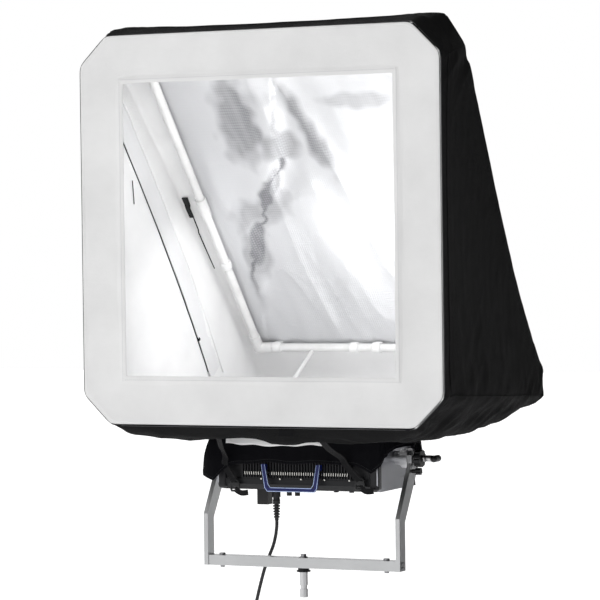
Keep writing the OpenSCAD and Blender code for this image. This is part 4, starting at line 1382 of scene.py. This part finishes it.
# ---------- lamp ----------
def make_lamp_details():
    low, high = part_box("heat_sink_front")
    face = low[1] - 0.0006
    row_z = 0.350
    pins = []
    pitch = 0.0088
    count = int((high[0] - low[0] - 0.02) / pitch)
    points, faces = [], []
    for k in range(count):
        x = -count * pitch / 2 + (k + 0.5) * pitch
        lean = 0.35 * math.copysign(max(0.0, abs(x) - 0.10), x)
        n = len(points)
        half, tall = 0.0011, 0.0052
        for y in (face - 0.0022, face + 0.002):
            for across, up in ((-1, 1), (1, 1), (1, -1), (-1, -1)):
                points.append(Vector((x + across * half + up * lean * 0.03, y, row_z + up * tall)))
        faces += [(n, n + 3, n + 2, n + 1), (n + 4, n + 5, n + 6, n + 7), (n, n + 1, n + 5, n + 4),
                  (n + 1, n + 2, n + 6, n + 5), (n + 2, n + 3, n + 7, n + 6), (n + 3, n, n + 4, n + 7)]
    pins.append(mesh_piece("fin_tips", points, faces, NICKEL, smooth=False))
    head = [(0.0001, 0.0), (0.0026, 0.0), (0.0034, 0.0010), (0.0034, 0.0026)]
    for x in (-0.135, -0.062, 0.020, 0.110, 0.205):
        place = Vector((x, face - 0.0020, row_z - 0.019))
        pins.append(lathe("face_screw_%d" % (len(pins) + 1), head, place, (0, 1, 0), NICKEL, sides=18))
    return pins


def make_guard_edges():
    """Pale painted edges on the front faces of the blue guards."""
    low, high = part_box("guard_bars")
    made = []
    for sign in (-1, 1):
        y = (low[1] if sign < 0 else high[1]) + sign * 0.0002
        for name, inset in (("outer", 0.0), ("inner", 0.0125)):
            half = (high[0] - low[0]) / 2 - inset
            middle = (high[0] + low[0]) / 2
            foot = half - 0.016
            z = low[2] + 0.0008 + inset
            path = [Vector((middle + x, y, height)) for x, height in (
                (-half, high[2]), (-foot - 0.003, z + 0.012), (-foot + 0.006, z),
                (foot - 0.006, z), (foot + 0.003, z + 0.012), (half, high[2]),
            )]
            tag = "" if sign < 0 else "_rear"
            made.append(tube("guard_edge_%s%s" % (name, tag), path, 0.0013, PALE_BLUE, sides=8))
    return made


def make_end_bumpers():
    """Rounded black corner posts where the end panels meet the long faces."""
    made = []
    for side in (-1, 1):
        for face, sign in ((LAMP_FRONT, -1), (LAMP_REAR, 1)):
            x0, x1 = sorted((side * (LAMP_HALF - 0.034), side * (LAMP_HALF + 0.0015)))
            y0, y1 = sorted((face - sign * 0.040, face + sign * 0.0015))
            made.append(block("end_post_%d" % (len(made) + 1), (x0, y0, LAMP_BOTTOM + 0.004), (x1, y1, 0.442),
                              FIN_BLACK, bevel=0.011, segments=5))
    return made


def make_relief():
    """Ribbed, tapered sleeve where the cord leaves its connector."""
    low = Vector(CORD_ROUTE[0])
    relief_l = 0.073
    ribs = 6
    profile = [(0.0061, 0.0004), (0.0078, 0.0004)]
    for k in range(ribs):
        start = 0.004 + k * (relief_l - 0.014) / ribs
        out = 0.0108 + 0.0036 * k / ribs
        gap = 0.0070 + 0.0014 * k / ribs
        profile += [(gap, start), (gap, start + 0.0030), (out - 0.0006, start + 0.0040),
                    (out, start + 0.0050), (out, start + 0.0082), (out - 0.0006, start + 0.0090)]
    profile += [(0.0128, relief_l - 0.009), (0.0134, relief_l - 0.008), (0.0134, relief_l),
                (0.0061, relief_l)]
    sleeve = lathe("relief_sleeve", profile, low, (0, 0, 1), RUBBER, sides=36)
    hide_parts("strain_relief")
    return sleeve


def make_handle_sleeve():
    """Bright turned shaft between the clamp's hub and its grip."""
    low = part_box("tilt_lock_handle")[0]
    r = 0.0114
    profile = [(0.0105, 0.026), (r, 0.0265), (r, 0.034), (r - 0.0006, 0.0345), (r - 0.0006, 0.036),
               (r, 0.0365), (r, 0.058), (0.0105, 0.0585)]
    return lathe("handle_shaft", profile, (low[0], PIVOT_Y, PIVOT_Z), (1, 0, 0), STEEL, "tilt_lock", sides=32)


make_handle_sleeve()
make_end_bumpers()
make_relief()
make_lamp_details()
make_guard_edges()


# ---------- finishes of the CAD nodes ----------
FINISHES = {
    STEEL: ["spigot_pin", "power_supply", "tilt_hub_left", "tilt_hub_right", "base_ring"],
    BAR_ALUMINIUM: ["yoke_crossbar"],
    ALUMINIUM: ["yoke_arm_left", "yoke_arm_right"],
    BOLT: ["yoke_bolts"],
    LAMP_BLACK: ["spigot_collar", "lamp_housing"],
    FIN_BLACK: ["heat_sink_front", "heat_sink_rear"],
    END_GREY: ["end_panel_left", "end_panel_right"],
    PANEL_GREY: ["lower_casing"],
    BLUE: ["guard_bars"],
    ENGINE: ["light_engine"],
    OPAL: ["diffuser_panel"],
    BOARD: ["driver_board"],
    SCREEN: ["display_window"],
    BLACK_PLASTIC: [
        "fan_left", "fan_right", "tilt_lock_handle", "lock_knob_right", "encoder_a", "encoder_b", "encoder_c",
        "data_sockets", "power_connector",
    ],
    GREY_PLASTIC: ["tilt_knob_left", "tilt_lever_left", "button_a", "button_b", "button_c", "button_d"],
    WHITE_TUBE: ["front_frame", "bounce_frame", "brace_tubes", "ring_struts"],
    PATCH_CLOTH: ["label_patch"],
}
SOFT_EDGES = {
    "yoke_crossbar": 0.0015, "yoke_arm_left": 0.0015, "yoke_arm_right": 0.0015,
    "end_panel_left": 0.0015, "end_panel_right": 0.0015, "guard_bars": 0.0008,
}
for material, nodes in FINISHES.items():
    for node in nodes:
        use(node, material, SOFT_EDGES.get(node, 0.0))
